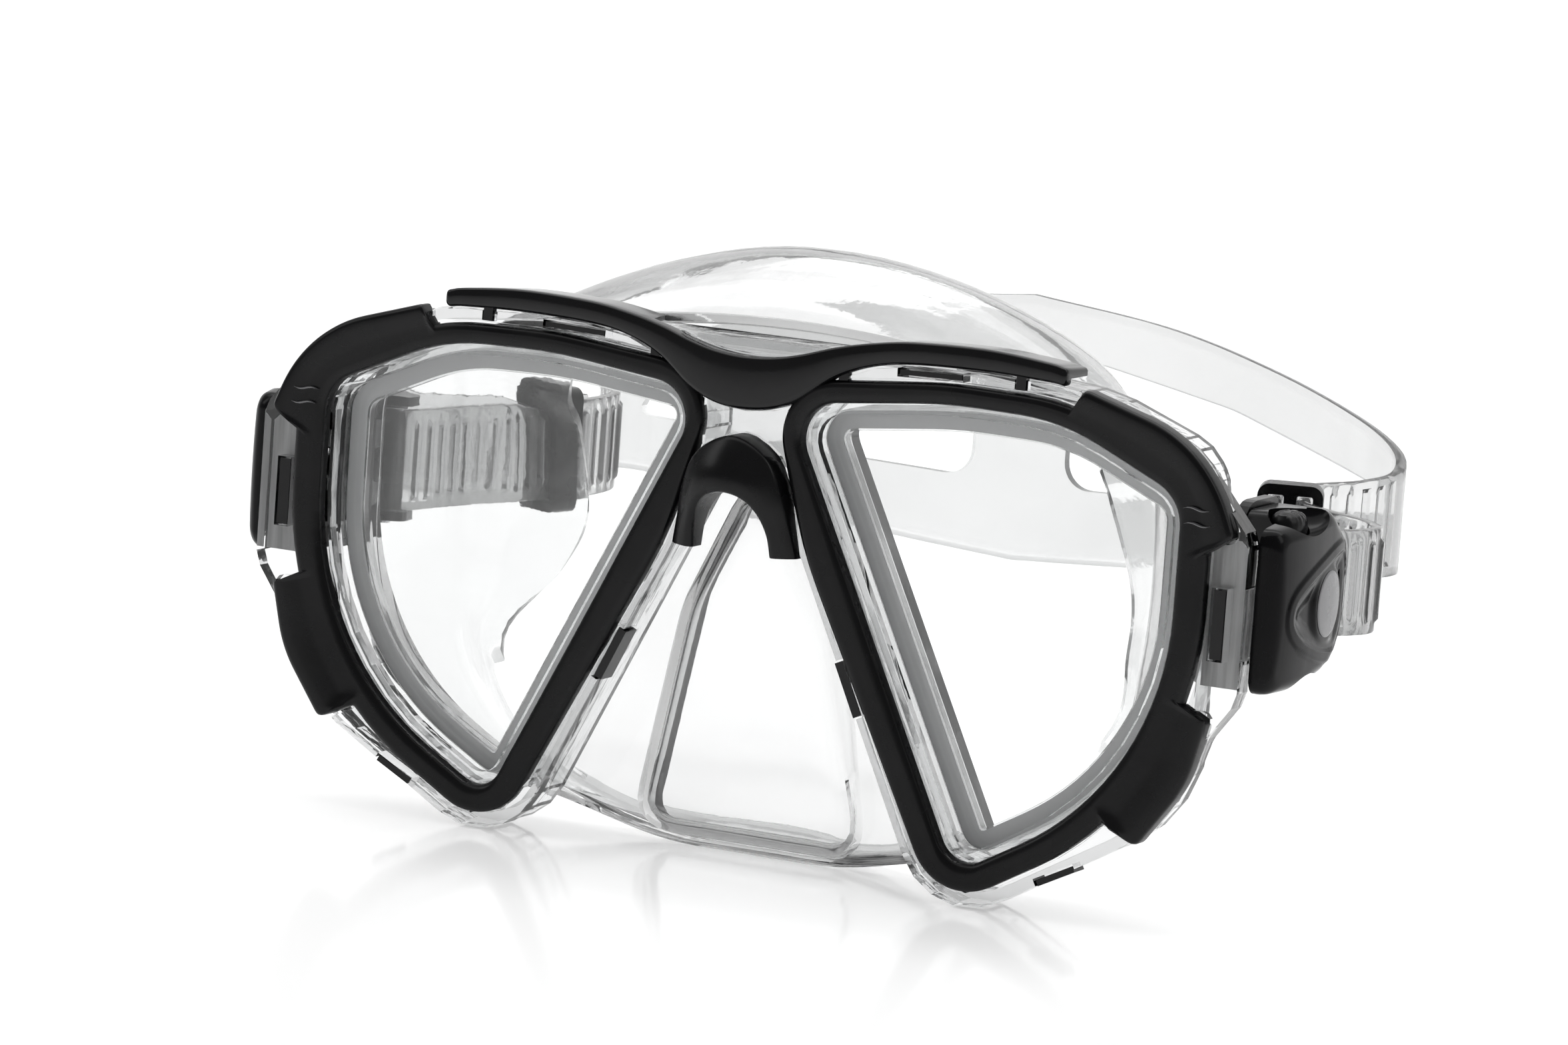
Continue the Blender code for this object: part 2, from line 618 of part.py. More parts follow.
def brow_bar():
    """The brow trim: a rounded bar across both lenses, with a top flange and two joining tabs a side."""
    stations = list(BROW)
    stations = [(-x, low, high, front) for x, low, high, front in stations[:0:-1]] + stations
    sections = []
    for x, low, high, front in stations:
        ease = min(0.8, (high - low) * 0.25)
        sections.append(((x, -0.05, low), (x, front + 0.9, low), (x, front + 0.1, low + ease),
                         (x, front, (low + high) / 2), (x, front + 0.3, high - ease), (x, front + 1.2, high),
                         (x, -0.05, high)))
    bar = loft("brow_bar", sections, GLOSS)
    for side in (1, -1):
        edge = [(side * x, high) for x, low, high, front in BROW[4:]]
        shelf = [((x, -1.2, z - 1.2), (x, BROW_TOP_BACK, z - 1.2),
                  (x, BROW_TOP_BACK, z - 0.4), (x, -1.2, z - 0.1))
                 for x, z in edge]
        join(bar, loft("flange", shelf, GLOSS))
        join(bar, prism("bar_tab", [tab_box(side, 0)], "Y", BORDER_FRONT - 0.1, -0.1, GLOSS))
    bake(bar)
    smooth(bar)


def nose_bridge_clip():
    """The inverted U over the nose: it leans forward towards its arch."""
    sections = []
    for xi, zi, xo, zo, front in bridge_run():
        inner = Vector((xi, zi))
        outer = Vector((xo, zo))
        across = (outer - inner).normalized() * 0.7
        peak = inner + (outer - inner) * 0.3
        low_front = front + 2.6 * (outer - inner).length / 9
        sections.append(((xi, 0, zi), (xi, front + 0.8, zi),
                         (inner.x + across.x, front + 0.1, inner.y + across.y),
                         (peak.x, front, peak.y),
                         (outer.x - across.x, low_front, outer.y - across.y),
                         (xo, low_front + 0.9, zo), (xo, 0, zo)))
    clip = loft("nose_bridge_clip", sections, GLOSS)
    bake(clip)
    smooth(clip)


# ---------------------------------------------------------------- skirt

def skirt_loops():
    """The skirt's outside as four closed runs of points, from the plate behind the frame to the free edge."""
    loops = []
    for level in range(4):
        half = [(p[level][0], SKIRT_PLATE, p[level][1]) if level == 0 else p[level] for p in SKIRT]
        full = half + [(-x, y, z) for x, y, z in half[-2:0:-1]]
        loops.append([Vector((x, y, max(z, 0))) for x, y, z in catmull(full, SKIRT_SPAN, closed=True)])
    shoulder = offset([Vector((p.x, p.z)) for p in loops[0]], -SHOULDER_INSET)
    loops.insert(1, [Vector((p.x, SHOULDER_Y, p.y)) for p in shoulder])
    return loops


def skirt_inward(loops, level, k):
    """The direction square to the skirt's wall that points into the face cavity."""
    loop = loops[level]
    along = loop[(k + 1) % len(loop)] - loop[k - 1]
    deeper = loops[min(level + 1, len(loops) - 1)][k] - loops[max(level - 1, 0)][k]
    if level < 2:
        deeper = Vector((0, 1, 0))
    normal = along.cross(deeper).normalized()
    middle = Vector((0, loop[k].y + 12, 47))
    return normal if normal.dot(middle - loop[k]) > 0 else -normal


def skirt_bowl(name, depth):
    """A solid bowl whose wall lies a given depth inside the skirt's outside."""
    loops = skirt_loops()
    moved = [[point + skirt_inward(loops, level, k) * depth for k, point in enumerate(loop)]
             for level, loop in enumerate(loops)]
    if depth:
        for point in moved[0]:
            point.y += depth
        moved[-1] = [edge + (edge - before) * 0.25 for before, edge in zip(moved[-2], moved[-1])]
        moved.append([point + Vector((0, 12, 0)) for point in moved[-1]])
    else:
        rim = SKIRT_THICKNESS + 0.8
        last = len(loops) - 1
        moved.append([point + skirt_inward(loops, last, k) * rim for k, point in enumerate(loops[last])])
    return loft(name, moved, SILICONE)


def skirt():
    """The silicone skirt: a bowl behind the frame, a seal in each lens pocket and a nose pocket."""
    wall = SKIRT_THICKNESS
    outside = skirt_bowl("skirt", 0)
    inside = [skirt_bowl("face_room", wall)]
    front = rounded(both_halves(NOSE_FRONT))
    rear = rounded(both_halves(NOSE_BACK))
    for depth, end in ((0, SKIRT_PLATE + 0.8), (wall, SKIRT_PLATE + wall + 0.4)):
        rings = []
        for ring, level in ((front, None), (rear, SKIRT_PLATE), (rear, end)):
            rings.append([(p.x, NOSE_TOP_Y + depth + NOSE_SLOPE * (58 - p.y) if level is None else level, p.y)
                          for p in polar(offset(ring, -depth), (0, 26), 36)])
        pocket = loft("nose_pocket", rings, SILICONE)
        if depth:
            inside.append(pocket)
        else:
            join(outside, pocket)
    for side in (1, -1):
        for inset, low, high in ((COLLAR_INSET, SEAL_FRONT, SKIRT_PLATE + 0.5),
                                 (COLLAR_INSET + wall, SEAL_FRONT + wall, SKIRT_PLATE + wall + 0.3),
                                 (SEAL_INSET, 0, SKIRT_PLATE)):
            piece = lens_pocket(side, -inset, low, high, "collar")
            if inset == COLLAR_INSET:
                join(outside, piece)
            else:
                inside.append(piece)
    cut(outside, *inside)
    for step in outside.modifiers:
        step.solver = "MANIFOLD"
    bake(outside, merge_flats=False)
    keep_main_body(outside)
    smooth(outside, 60)


# ---------------------------------------------------------------- buckle

def at_pivot(corners):
    """Side-view corners (y, z from the pivot, radius) in the mask's frame."""
    return rounded([(y, PIVOT[1] + z, r) for y, z, r in corners])


def z_span(low, high):
    return PIVOT[1] + low, PIVOT[1] + high


def pivot_pin():
    """A shouldered pin through the frame's lug and the buckle's base, with a rounded head on each side."""
    shank, inner, outer = PIN
    pin = cylinder("pin", "X", PIVOT, *shank)
    join(pin, bevel(cylinder("inner_head", "X", PIVOT, *inner), 0.5, 1),
         cylinder("outer_head", "X", PIVOT, *outer))
    pair(pin, "pivot_pin", (LUG_X[1], *PIVOT))


def buckle_base():
    """The plate that turns on the pin, with two cheeks that carry the roller and the pawl."""
    hole = ellipse(PIVOT, (PIN_HOLE_R, PIN_HOLE_R))
    base = prism("base", [at_pivot(BASE_OUTLINE), hole], "X", *BASE_X)
    for low, high in (CHEEK_Z, (-CHEEK_Z[1], -CHEEK_Z[0])):
        holes = [ellipse(ROLLER, (AXLE_R + 0.2,) * 2, 14), ellipse(PAWL_PIN, (PAWL_PIN_R + 0.2,) * 2, 14)]
        join(base, prism("cheek", [rounded(CHEEK), *holes], "Z", *z_span(low, high)))
    pair(base, "buckle_base", (LUG_X[1], *PIVOT))


def shell_solid(name, inset, x_low, x_high):
    """The bulged outer body: its side view crossed with its plan."""
    side = offset(at_pivot(SHELL_SIDE), -inset)
    plan = offset(rounded(SHELL_PLAN), -inset)
    body = prism(name, [side], "X", x_low, x_high)
    return combine(body, prism(name + "_plan", [plan], "Z", *z_span(-20, 20)), "INTERSECT")


def buckle_cover():
    """A hollow cover: hub behind the frame, outer body beside it, open to the base and to the strap."""
    cover = shell_solid("cover", 0, 85, 91)
    join(cover, prism("hub", [at_pivot(HUB_OUTLINE)], "X", *COVER_X))
    cut(cover, prism("hub_room", [offset(at_pivot(HUB_OUTLINE), -SHELL_WALL)], "X", 79, 86.2))
    room = prism("shell_room", [at_pivot(ROOM_SIDE)], "X", 84, 90)
    combine(room, prism("room_plan", [rounded(ROOM_PLAN)], "Z", *z_span(-20, 20)), "INTERSECT")
    cut(cover, room)
    cut(cover, prism("strap_mouth", [at_pivot(STRAP_MOUTH)], "X", 79, 87.3))
    for sign in (1, -1):
        dish = ellipse((BUTTON[0] + 0.4, BUTTON[1]), (BUTTON_HALF[0] + 1.6, BUTTON_HALF[1] + 1.8), 24)
        well = ellipse(BUTTON, (BUTTON_HALF[0] + 0.35, BUTTON_HALF[1] + 0.35), 24)
        cut(cover, prism("dish", [dish], "Z", *z_span(*sorted((sign * 13.3, sign * 20)))))
        cut(cover, prism("well", [well], "Z", *z_span(*sorted((sign * 11, sign * 20)))))
    pair(cover, "buckle_cover", (LUG_X[1], *PIVOT))


def badge_plate():
    """A blank oval plate let into the buckle's outer face."""
    plate = prism("badge", [ellipse(*BADGE, 24)], "X", *BADGE_X, BADGE_GREY)
    pair(plate, "badge_plate", (BADGE_X[0], *PIVOT))


def squeeze_buttons():
    """Two thumb buttons a side, with a flange inside the cover and a stem that meets the spring."""
    for sign, name in ((1, "button_top"), (-1, "button_bottom")):
        def span(a, b):
            return z_span(*sorted((sign * a, sign * b)))
        cap = bevel(prism("cap", [ellipse(BUTTON, BUTTON_HALF, 16)], "Z", *span(*BUTTON_CAP_Z)), 0.6, 1)
        flange = prism("flange", [ellipse(*BUTTON_FLANGE, 14)], "Z", *span(*BUTTON_FLANGE_Z))
        stem = cylinder("stem", "Z", (BUTTON[0], STEM_Y), *span(STEM_END, BUTTON_CAP_Z[0] + 0.4), STEM_R, 10)
        pair(join(cap, flange, stem), name, (*BUTTON, PIVOT[1] + sign * BUTTON_CAP_Z[0]))


def button_spring():
    """A compression spring between the two buttons' stems."""
    low, high = z_span(-SPRING_HALF, SPRING_HALF)
    curve = bpy.data.curves.new("coil", "CURVE")
    curve.dimensions = "3D"
    curve.bevel_depth = SPRING_WIRE_R * MM
    curve.bevel_resolution = 1
    curve.use_fill_caps = True
    spline = curve.splines.new("POLY")
    count = SPRING_TURNS * SPRING_SIDES
    spline.points.add(count)
    for k in range(count + 1):
        angle = 2 * math.pi * k / SPRING_SIDES
        spot = (BUTTON[0] + SPRING_R * math.cos(angle), STEM_Y + SPRING_R * math.sin(angle),
                low + (high - low) * k / count)
        spline.points[k].co = (*(Vector(spot) * MM), 1)
    wire = bpy.data.objects.new("coil", curve)
    bpy.context.scene.collection.objects.link(wire)
    graph = bpy.context.evaluated_depsgraph_get()
    mesh = bpy.data.meshes.new_from_object(wire.evaluated_get(graph))
    bpy.data.objects.remove(wire, do_unlink=True)
    bm = bmesh.new()
    bm.from_mesh(mesh)
    pair(add_object("spring", mesh_from(bm, "spring"), STEEL), "button_spring", (BUTTON[0], STEM_Y, PIVOT[1]))


def roller_and_pawl():
    """The strap turns round the roller, and the pawl's edge stands against its ribs."""
    ring = [ellipse(ROLLER, (ROLLER_R, ROLLER_R), 20), ellipse(ROLLER, (AXLE_R + 0.25,) * 2, 14)]
    pair(prism("roller", ring, "Z", *z_span(*ROLLER_Z)), "strap_roller", (*ROLLER, PIVOT[1]))
    pair(cylinder("axle", "Z", ROLLER, *z_span(*AXLE_Z), AXLE_R, 14, STEEL),
         "roller_axle", (*ROLLER, PIVOT[1]))
    bore = ellipse(PAWL_PIN, (PAWL_PIN_R + 0.25,) * 2, 12)
    lever = prism("lever", [rounded(PAWL), bore], "Z", *z_span(*PAWL_Z))
    pair(lever, "strap_pawl", (*PAWL_PIN, PIVOT[1]))
    pair(cylinder("pawl_pin", "Z", PAWL_PIN, *z_span(*PAWL_PIN_Z), PAWL_PIN_R, 12, STEEL), "pawl_pin",
         (*PAWL_PIN, PIVOT[1]))


# ---------------------------------------------------------------- strap and keepers

KEEPER_ALONG = Vector((-math.sin(KEEPER_ANGLE), math.cos(KEEPER_ANGLE)))
KEEPER_ACROSS = Vector((math.cos(KEEPER_ANGLE), math.sin(KEEPER_ANGLE)))


def keeper_point(across, along):
    return Vector(KEEPER) + KEEPER_ACROSS * across + KEEPER_ALONG * along


def half_route():
    """The strap's middle line from its tail, through the keeper, round the roller and back to the midline."""
    low, high = STRAP_ENDS
    keys = [keeper_point(KEEPER_LAYER, along) for along in (9.5, 6, 2, -2, -5.5)]
    keys += [Vector(point) for point in TAIL_LOOP]
    wrap = STRAP_THICKNESS / 2 + ROLLER_R + 0.4
    for degrees in (-42, -70, -98, -126, -150, -172):
        angle = math.radians(degrees)
        keys.append(Vector(ROLLER) + Vector((math.cos(angle), math.sin(angle))) * wrap)
    keys += [Vector(point) for point in INNER_RUN]
    keys += [keeper_point(-KEEPER_LAYER, along) for along in (-5.5, -2, 2, 6)]
    rows = [(point.x, point.y, low, high) for point in keys]
    return catmull(rows + list(STRAP_BACK), 2)


def strap():
    half = half_route()
    route = half + [(-x, y, low, high) for x, y, low, high in half[-2::-1]]
    sections = []
    for k, (x, y, low, high) in enumerate(route):
        ahead = route[min(k + 1, len(route) - 1)]
        behind = route[max(k - 1, 0)]
        along = Vector((ahead[0] - behind[0], ahead[1] - behind[1])).normalized()
        side = Vector((along.y, -along.x)) * (STRAP_THICKNESS / 2)
        sections.append(((x - side.x, y - side.y, low), (x + side.x, y + side.y, low),
                         (x + side.x, y + side.y, high), (x - side.x, y - side.y, high)))
    band = loft("strap", sections, SILICONE)
    for side in (1, -1):
        outline = rounded(CUTOUT)
        shape = outline if side > 0 else mirrored_outline(outline)
        cut(band, prism("cutout", [shape], "Y", 88, 112))
    bake(band)
    set_origin(band, (0, *PIVOT))
    smooth(band)


def keeper():
    """A two-slot loop that holds the strap's tail against its other layer."""
    wide, tall = KEEPER_HALF
    corners = [(-wide, -tall, 1.6), (wide, -tall, 1.6), (wide, tall, 1.6), (-wide, tall, 1.6)]
    reach = STRAP_THICKNESS / 2 + 0.35
    slot_half = (STRAP_ENDS[1] - STRAP_ENDS[0]) / 2 + 0.4
    holes = [front_view_boxes((middle - reach, middle + reach), (-slot_half, slot_half))
             for middle in (-KEEPER_LAYER, KEEPER_LAYER)]
    loop = prism("loop", [rounded(corners), *holes], "Y", -KEEPER_LENGTH / 2, KEEPER_LENGTH / 2)
    turn = Matrix.Rotation(KEEPER_ANGLE, 4, "Z")
    loop.data.transform(Matrix.Translation(Vector((KEEPER[0], KEEPER[1], PIVOT[1])) * MM) @ turn)
    pair(loop, "strap_keeper", (KEEPER[0], KEEPER[1], PIVOT[1]))


for build in (frame, lens_ring, snap_tabs, lens, brow_bar, nose_bridge_clip, skirt, pivot_pin, buckle_base,
              buckle_cover, badge_plate, squeeze_buttons, button_spring, roller_and_pawl, strap, keeper):
    build()
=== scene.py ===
"""Looks of the diving mask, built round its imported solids.

Shapes are drawn in millimetres in the mask's own frame: X across the face, Y from the lenses back to the
wearer, Z up from the lowest point. place() turns them into the row's metres.
"""
import math

import bmesh
import bpy
from mathutils import Matrix, Vector


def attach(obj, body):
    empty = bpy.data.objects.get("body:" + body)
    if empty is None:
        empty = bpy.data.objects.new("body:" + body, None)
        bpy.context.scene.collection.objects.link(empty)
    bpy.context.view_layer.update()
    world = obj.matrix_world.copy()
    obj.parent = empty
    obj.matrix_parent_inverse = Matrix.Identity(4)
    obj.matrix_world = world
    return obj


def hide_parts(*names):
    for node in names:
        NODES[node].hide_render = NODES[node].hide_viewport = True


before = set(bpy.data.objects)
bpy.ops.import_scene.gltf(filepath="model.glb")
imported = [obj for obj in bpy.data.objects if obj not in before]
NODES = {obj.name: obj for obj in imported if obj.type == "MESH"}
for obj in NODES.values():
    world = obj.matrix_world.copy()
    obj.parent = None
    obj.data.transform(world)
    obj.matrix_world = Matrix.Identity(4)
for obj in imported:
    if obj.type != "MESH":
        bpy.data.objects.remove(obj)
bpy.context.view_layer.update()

MM = 0.001
CENTRE_Y = 48.725

# ---------------------------------------------------------------- the mask's measures

OPENING = ((40.5, 4.9, 5), (73.5, 23.9, 44), (73.5, 66.9, 7), (53, 76.1, 35), (34, 76.5, 80), (6.9, 73.4, 6))
BEZEL_EDGE = ((38.7, -1.0, 9.2), (78.5, 22.0, 49), (78.5, 69.5, 9), (53.5, 79.3, 35), (34, 79.7, 80),
              (4, 76.8, 9), (12, 50.5, 60))
UPPER_PAD = ((56, 70, 0.5), (56, 81.8, 1.2), (77.3, 75.4, 22), (83.2, 61.3, 1.2), (70, 61.3, 0.5))
LOWER_PAD = ((70, 35.2, 0.5), (80.9, 35.2, 1.2), (78.2, 24, 20), (70.8, 13.7, 1.2), (62, 18, 0.5))
LENS_CENTRE = Vector((43.0, 45.0))
BEZEL_FRONT = -2.5
PAD_FRONT = -3.1
BEZEL_RAYS = 720
BEZEL_ROUND = 1.0
WAVE_SPOTS = ((76.6, 65.9), (76.9, 63.6))
WAVE_LENGTH = 4.2
WAVE_STEPS = 16
WING_X = (77.6, 84.4)
WING_Z = (39.0, 61.4)
WING_CORNER = 82.5
WING_STEPS = 120

BROW = ((0, 71.6, 79.9, -3.4), (5, 72.2, 80.3, -3.4), (9.5, 74.2, 81.3, -3.2), (15, 78.2, 83.0, -2.8),
        (21, 80.6, 84.3, -2.4), (28, 81.7, 85.2, -2.1), (40, 82.0, 85.5, -1.9), (50, 81.7, 84.7, -1.9),
        (52.7, 81.4, 84.2, -1.9))
BROW_TOP_BACK = 6.0
BROW_MIDDLE = 18        # the flange starts this far from the midline
BROW_TAB_HALF = 0.8
BROW_TABS = ((45.8, 80.0, 82.6), (16.2, 76.6, 79.8))
BRIDGE = ((6.6, 49.5, 10.8, 49.7, -3.6), (6.2, 53.0, 9.7, 54.5, -4.6), (5.1, 56.2, 8.5, 59.6, -6.2),
          (3.0, 58.4, 6.0, 64.9, -7.5), (0, 59.2, 0, 67.8, -8.2))

SKIRT = (
    ((0, 84.5), (0, 18, 90.5), (0, 24.5, 94.6), (0, 29, 94.0)),
    ((24, 83), (24, 19.5, 87.5), (24, 27, 91), (23.5, 31, 90.3)),
    ((47, 79), (47, 20, 80.8), (45.5, 28, 82.3), (42.5, 31.5, 80)),
    ((64, 74), (59.5, 20, 72), (55.5, 28, 70.5), (46.5, 31, 67)),
    ((72.6, 66), (62, 21, 64), (57.5, 31.5, 62.5), (47, 36.5, 60)),
    ((73.2, 50), (62, 22.5, 49), (57.5, 35, 47.5), (49, 44, 45.5)),
    ((73.2, 37), (61.5, 22, 37), (57.5, 32.5, 36.5), (51, 39.5, 35.5)),
    ((68.5, 20.5), (59, 20, 23.5), (57.5, 26, 24.5), (53.7, 27.5, 25.5)),
    ((50, 8.6), (46, 16.8, 10.2), (45, 19.5, 11.3), (43.5, 20.2, 12.8)),
    ((30, 3.4), (28, 15.8, 3.4), (27, 18, 3.6), (26.5, 18.8, 5.2)),
    ((15, 0.3), (14, 17.5, 0.2), (13.8, 21.5, 0.3), (13.5, 23, 1.9)),
    ((0, 0), (0, 18.5, 0), (0, 22.5, 0.1), (0, 24.5, 1.9)),
)
SKIRT_TOP = 94.6
SKIRT_PLATE = 12.6
SHOULDER_Y = 15.3
SHOULDER_INSET = 0.4
SKIRT_THICKNESS = 1.5
SEAL_FRONT = 5.6
COLLAR_INSET = 1.2
SEAL_INSET = 4.6
SEAL_FACE = 5.42
NOSE_FRONT = ((3.2, 58, 3), (12.5, 39, 25), (20.2, 2.4, 5))
NOSE_BACK = ((5.2, 58.6, 3), (12.8, 42, 25), (19.6, 1.4, 5))
NOSE_SLOPE = 0.067
NOSE_TOP_Y = 4.45

PIVOT = Vector((16.5, 52.5))
HUB = ((24, -12.8, 3), (24, 12.6, 3), (10.3, 12.6, 3), (4.6, 6.5, 7), (4.6, -6.5, 7), (10.3, -12.8, 3))
HUB_X = (79.8, 86.0)
SHELL_SIDE = ((1.4, -14.1, 2.6), (12, -13.9, 10), (21, -12.2, 7), (28.5, -6.5, 7),
              (28.5, 7.5, 6), (20.5, 13.0, 5), (1.4, 10.8, 2.6))
SHELL_PLAN = ((0.0, 88.0), (1.4, 88.4), (5, 89.3), (10, 89.9),
              (16, 90.1), (22, 90.0), (26, 89.4), (28.6, 88.4))
SHELL_BACK = (85.3, 85.9)       # the shell's open edge and the start of its side wall
SHELL_OUTERMOST = 90.72
SHELL_RIM = 2.4
SHELL_RIM_DROP = 2.2
SHELL_CROWN = 0.0036
SHELL_MIDDLE = (15.5, 51.8)
BUTTON = Vector((84.8, 13.8))
BUTTON_HALF = (2.7, 3.8)
BUTTON_ENDS = {1: (7.6, 12.7), -1: (-8.6, -12.9)}      # base and crown of each button, from the pivot
DISH = {1: ((87.4, 12.6, 14.0), (5.4, 7.4, 4.9)), -1: ((87.4, 15.0, -14.4), (5.4, 6.4, 3.2))}
BADGE_CENTRE = Vector((18.9, 51.2))
BADGE_HALF = (4.5, 5.1)
SLIT = ((24.3, 51.6), (0.75, 4.3))
# The raised line on the shell's face: y, z
TEAR = ((23.4, 59.7), (13.8, 56.9), (7.2, 53.6), (5.5, 50.3), (6.9, 47.5), (11.4, 45.0),
        (19.2, 43.1), (24.6, 43.6), (27.4, 47.0), (28.0, 52.0), (27.0, 57.0))
ROLLER = Vector((76.0, 27.5))
ROLLER_R = 2.2

STRAP_ENDS = (44.3, 60.7)
STRAP_BACK = ((62.4, 77, 44.5, 60.8), (68.4, 85.2, 45.2, 61.4), (71.2, 92, 45.6, 62.6),
              (69.0, 97.6, 45.2, 65.2), (61, 100.9, 44.2, 69.2), (45, 102.8, 42.2, 74.8),
              (25, 104.2, 39.6, 79.6), (0, 104.7, 37.8, 82.4))
TAIL_LOOP = ((77.2, 50.6), (84.6, 46.2), (88.6, 40.2), (87.4, 34.4), (83.2, 30.0))
INNER_RUN = ((70.6, 36), (68.0, 46))
STRAP_THICKNESS = 1.9
CUTOUT = ((8.5, 50.9, 4.5), (45, 52.0, 30), (68.6, 54.8, 1.5),
          (66.6, 58.3, 1.8), (38, 67.6, 30), (8.5, 73.0, 4.5))
CUTOUT_DEPTHS = (88, 112)
KEEPER = Vector((65.8, 61.0))
KEEPER_ANGLE = math.radians(20)
KEEPER_LAYER = 2.3
KEEPER_HALF = (5.2, 10.3)
KEEPER_LENGTH = 5.0
RIB_PITCH = 3.0
RIB_HEIGHT = 0.55
RIB_WIDTH = 1.7
RIB_SLOPE = 0.45
RIBS_START = 2.2
RIBS_END = 138.0
STRAP_EDGE = 0.4
STRAP_ROWS = 12
STRAP_FRONT = 23.2      # the band turns round the roller just clear of the frame's lug

SIDES = (("left", 1), ("right", -1))


def place(x, y, z):
    """A point of the mask, in millimetres, as a point of the row, in metres."""
    return Vector((x * MM, (y - CENTRE_Y) * MM, z * MM))


# ---------------------------------------------------------------- outlines

def arc_points(before, corner, after, radius, facet):
    to_before = (before - corner).normalized()
    to_after = (after - corner).normalized()
    inside = to_before.angle(to_after)
    first = corner + to_before * (radius / math.tan(inside / 2))
    centre = corner + (to_before + to_after).normalized() * (radius / math.sin(inside / 2))
    turn = math.pi - inside
    start = first - centre
    last = corner + to_after * (radius / math.tan(inside / 2)) - centre
    sign = 1 if start.x * last.y - start.y * last.x > 0 else -1
    steps = max(3, math.ceil(turn / math.radians(facet)))
    return [centre + Matrix.Rotation(sign * turn * k / steps, 2) @ start for k in range(steps + 1)]


def rounded(corners, facet=4):
    """A closed outline with rounded corners, from (x, z, radius) rows."""
    points = []
    for k, (x, z, radius) in enumerate(corners):
        before = Vector(corners[k - 1][:2])
        after = Vector(corners[(k + 1) % len(corners)][:2])
        points += arc_points(before, Vector((x, z)), after, radius, facet)
    return points


def both_halves(half):
    return list(half) + [(-x, z, r) for x, z, r in reversed(half)]


def mirrored(points):
    return [Vector((-p.x, p.y)) for p in points]


def signed_area(points):
    return sum(a.x * b.y - b.x * a.y for a, b in zip(points, points[1:] + points[:1])) / 2


def even(points, step):
    """A closed outline's points at equal distances."""
    ring = points + points[:1]
    lengths = [0.0]
    for a, b in zip(ring, ring[1:]):
        lengths.append(lengths[-1] + (b - a).length)
    count = max(12, round(lengths[-1] / step))
    result, at = [], 0
    for k in range(count):
        goal = lengths[-1] * k / count
        while lengths[at + 1] < goal:
            at += 1
        share = (goal - lengths[at]) / max(1e-9, lengths[at + 1] - lengths[at])
        result.append(ring[at].lerp(ring[at + 1], share))
    return result


def offset(points, distance):
    """The outline moved outwards by a distance, or inwards where it is negative."""
    turn = 1 if signed_area(points) > 0 else -1
    moved = []
    for k, point in enumerate(points):
        ahead = (points[(k + 1) % len(points)] - point).normalized()
        behind = (point - points[k - 1]).normalized()
        normal_a = Vector((ahead.y, -ahead.x)) * turn
        normal = (normal_a + Vector((behind.y, -behind.x)) * turn).normalized()
        moved.append(point + normal * (distance / max(0.3, normal.dot(normal_a))))
    return moved


def reach_of(points, ray, centre):
    """How far a ray from the centre goes before it leaves an outline, or 0 where it misses."""
    found = 0.0
    for a, b in zip(points, points[1:] + points[:1]):
        side = b - a
        across = ray.x * side.y - ray.y * side.x
        if abs(across) < 1e-9:
            continue
        to_a = a - centre
        along = (to_a.x * side.y - to_a.y * side.x) / across
        share = (to_a.x * ray.y - to_a.y * ray.x) / across
        if along > 0 and -1e-6 <= share <= 1 + 1e-6:
            found = max(found, along)
    return found


def catmull(keys, per_span, closed=False):
    """A smooth run through rows of numbers."""
    rows = [tuple(row) for row in keys]
    count = len(rows)
    smooth = []
    for k in range(count if closed else count - 1):
        p1, p2 = rows[k], rows[(k + 1) % count]
        p0 = rows[k - 1] if closed or k > 0 else tuple(2 * a - b for a, b in zip(p1, p2))
        p3 = rows[(k + 2) % count] if closed or k + 2 < count else tuple(2 * b - a for a, b in zip(p1, p2))
        for step in range(per_span):
            t = step / per_span
            smooth.append(tuple(0.5 * (2 * b + (c - a) * t + (2 * a - 5 * b + 4 * c - d) * t * t
                                       + (3 * b - a - 3 * c + d) * t ** 3)
                                 for a, b, c, d in zip(p0, p1, p2, p3)))
    if not closed:
        smooth.append(rows[-1])
    return smooth


def ease(value, low, high):
    """0 below low, 1 above high and smooth between."""
    t = min(1.0, max(0.0, (value - low) / (high - low)))
    return t * t * (3 - 2 * t)


# ---------------------------------------------------------------- materials

def principled(name, colour, roughness, **inputs):
    """A Principled material, with more of its sockets set by name."""
    made = bpy.data.materials.new(name)
    made.use_nodes = True
    shader = made.node_tree.nodes["Principled BSDF"]
    shader.inputs["Base Color"].default_value = (*colour, 1)
    shader.inputs["Roughness"].default_value = roughness
    for socket, value in inputs.items():
        shader.inputs[socket.replace("_", " ")].default_value = value
    return made


def noise(made, scale, detail=3.0, stretch=(1, 1, 1)):
    """A noise texture in the row's own metres, stretched along an axis where a stretch is below 1."""
    nodes, links = made.node_tree.nodes, made.node_tree.links
    where = nodes.new("ShaderNodeTexCoord")
    mapping = nodes.new("ShaderNodeMapping")
    mapping.inputs["Scale"].default_value = stretch
    texture = nodes.new("ShaderNodeTexNoise")
    texture.inputs["Scale"].default_value = scale
    texture.inputs["Detail"].default_value = detail
    links.new(where.outputs["Object"], mapping.inputs["Vector"])
    links.new(mapping.outputs["Vector"], texture.inputs["Vector"])
    return texture.outputs["Fac"]


def mapped(made, value, low, high):
    nodes, links = made.node_tree.nodes, made.node_tree.links
    spread = nodes.new("ShaderNodeMapRange")
    spread.inputs["From Min"].default_value = 0.3
    spread.inputs["From Max"].default_value = 0.7
    spread.inputs["To Min"].default_value = low
    spread.inputs["To Max"].default_value = high
    links.new(value, spread.inputs["Value"])
    return spread.outputs["Result"]


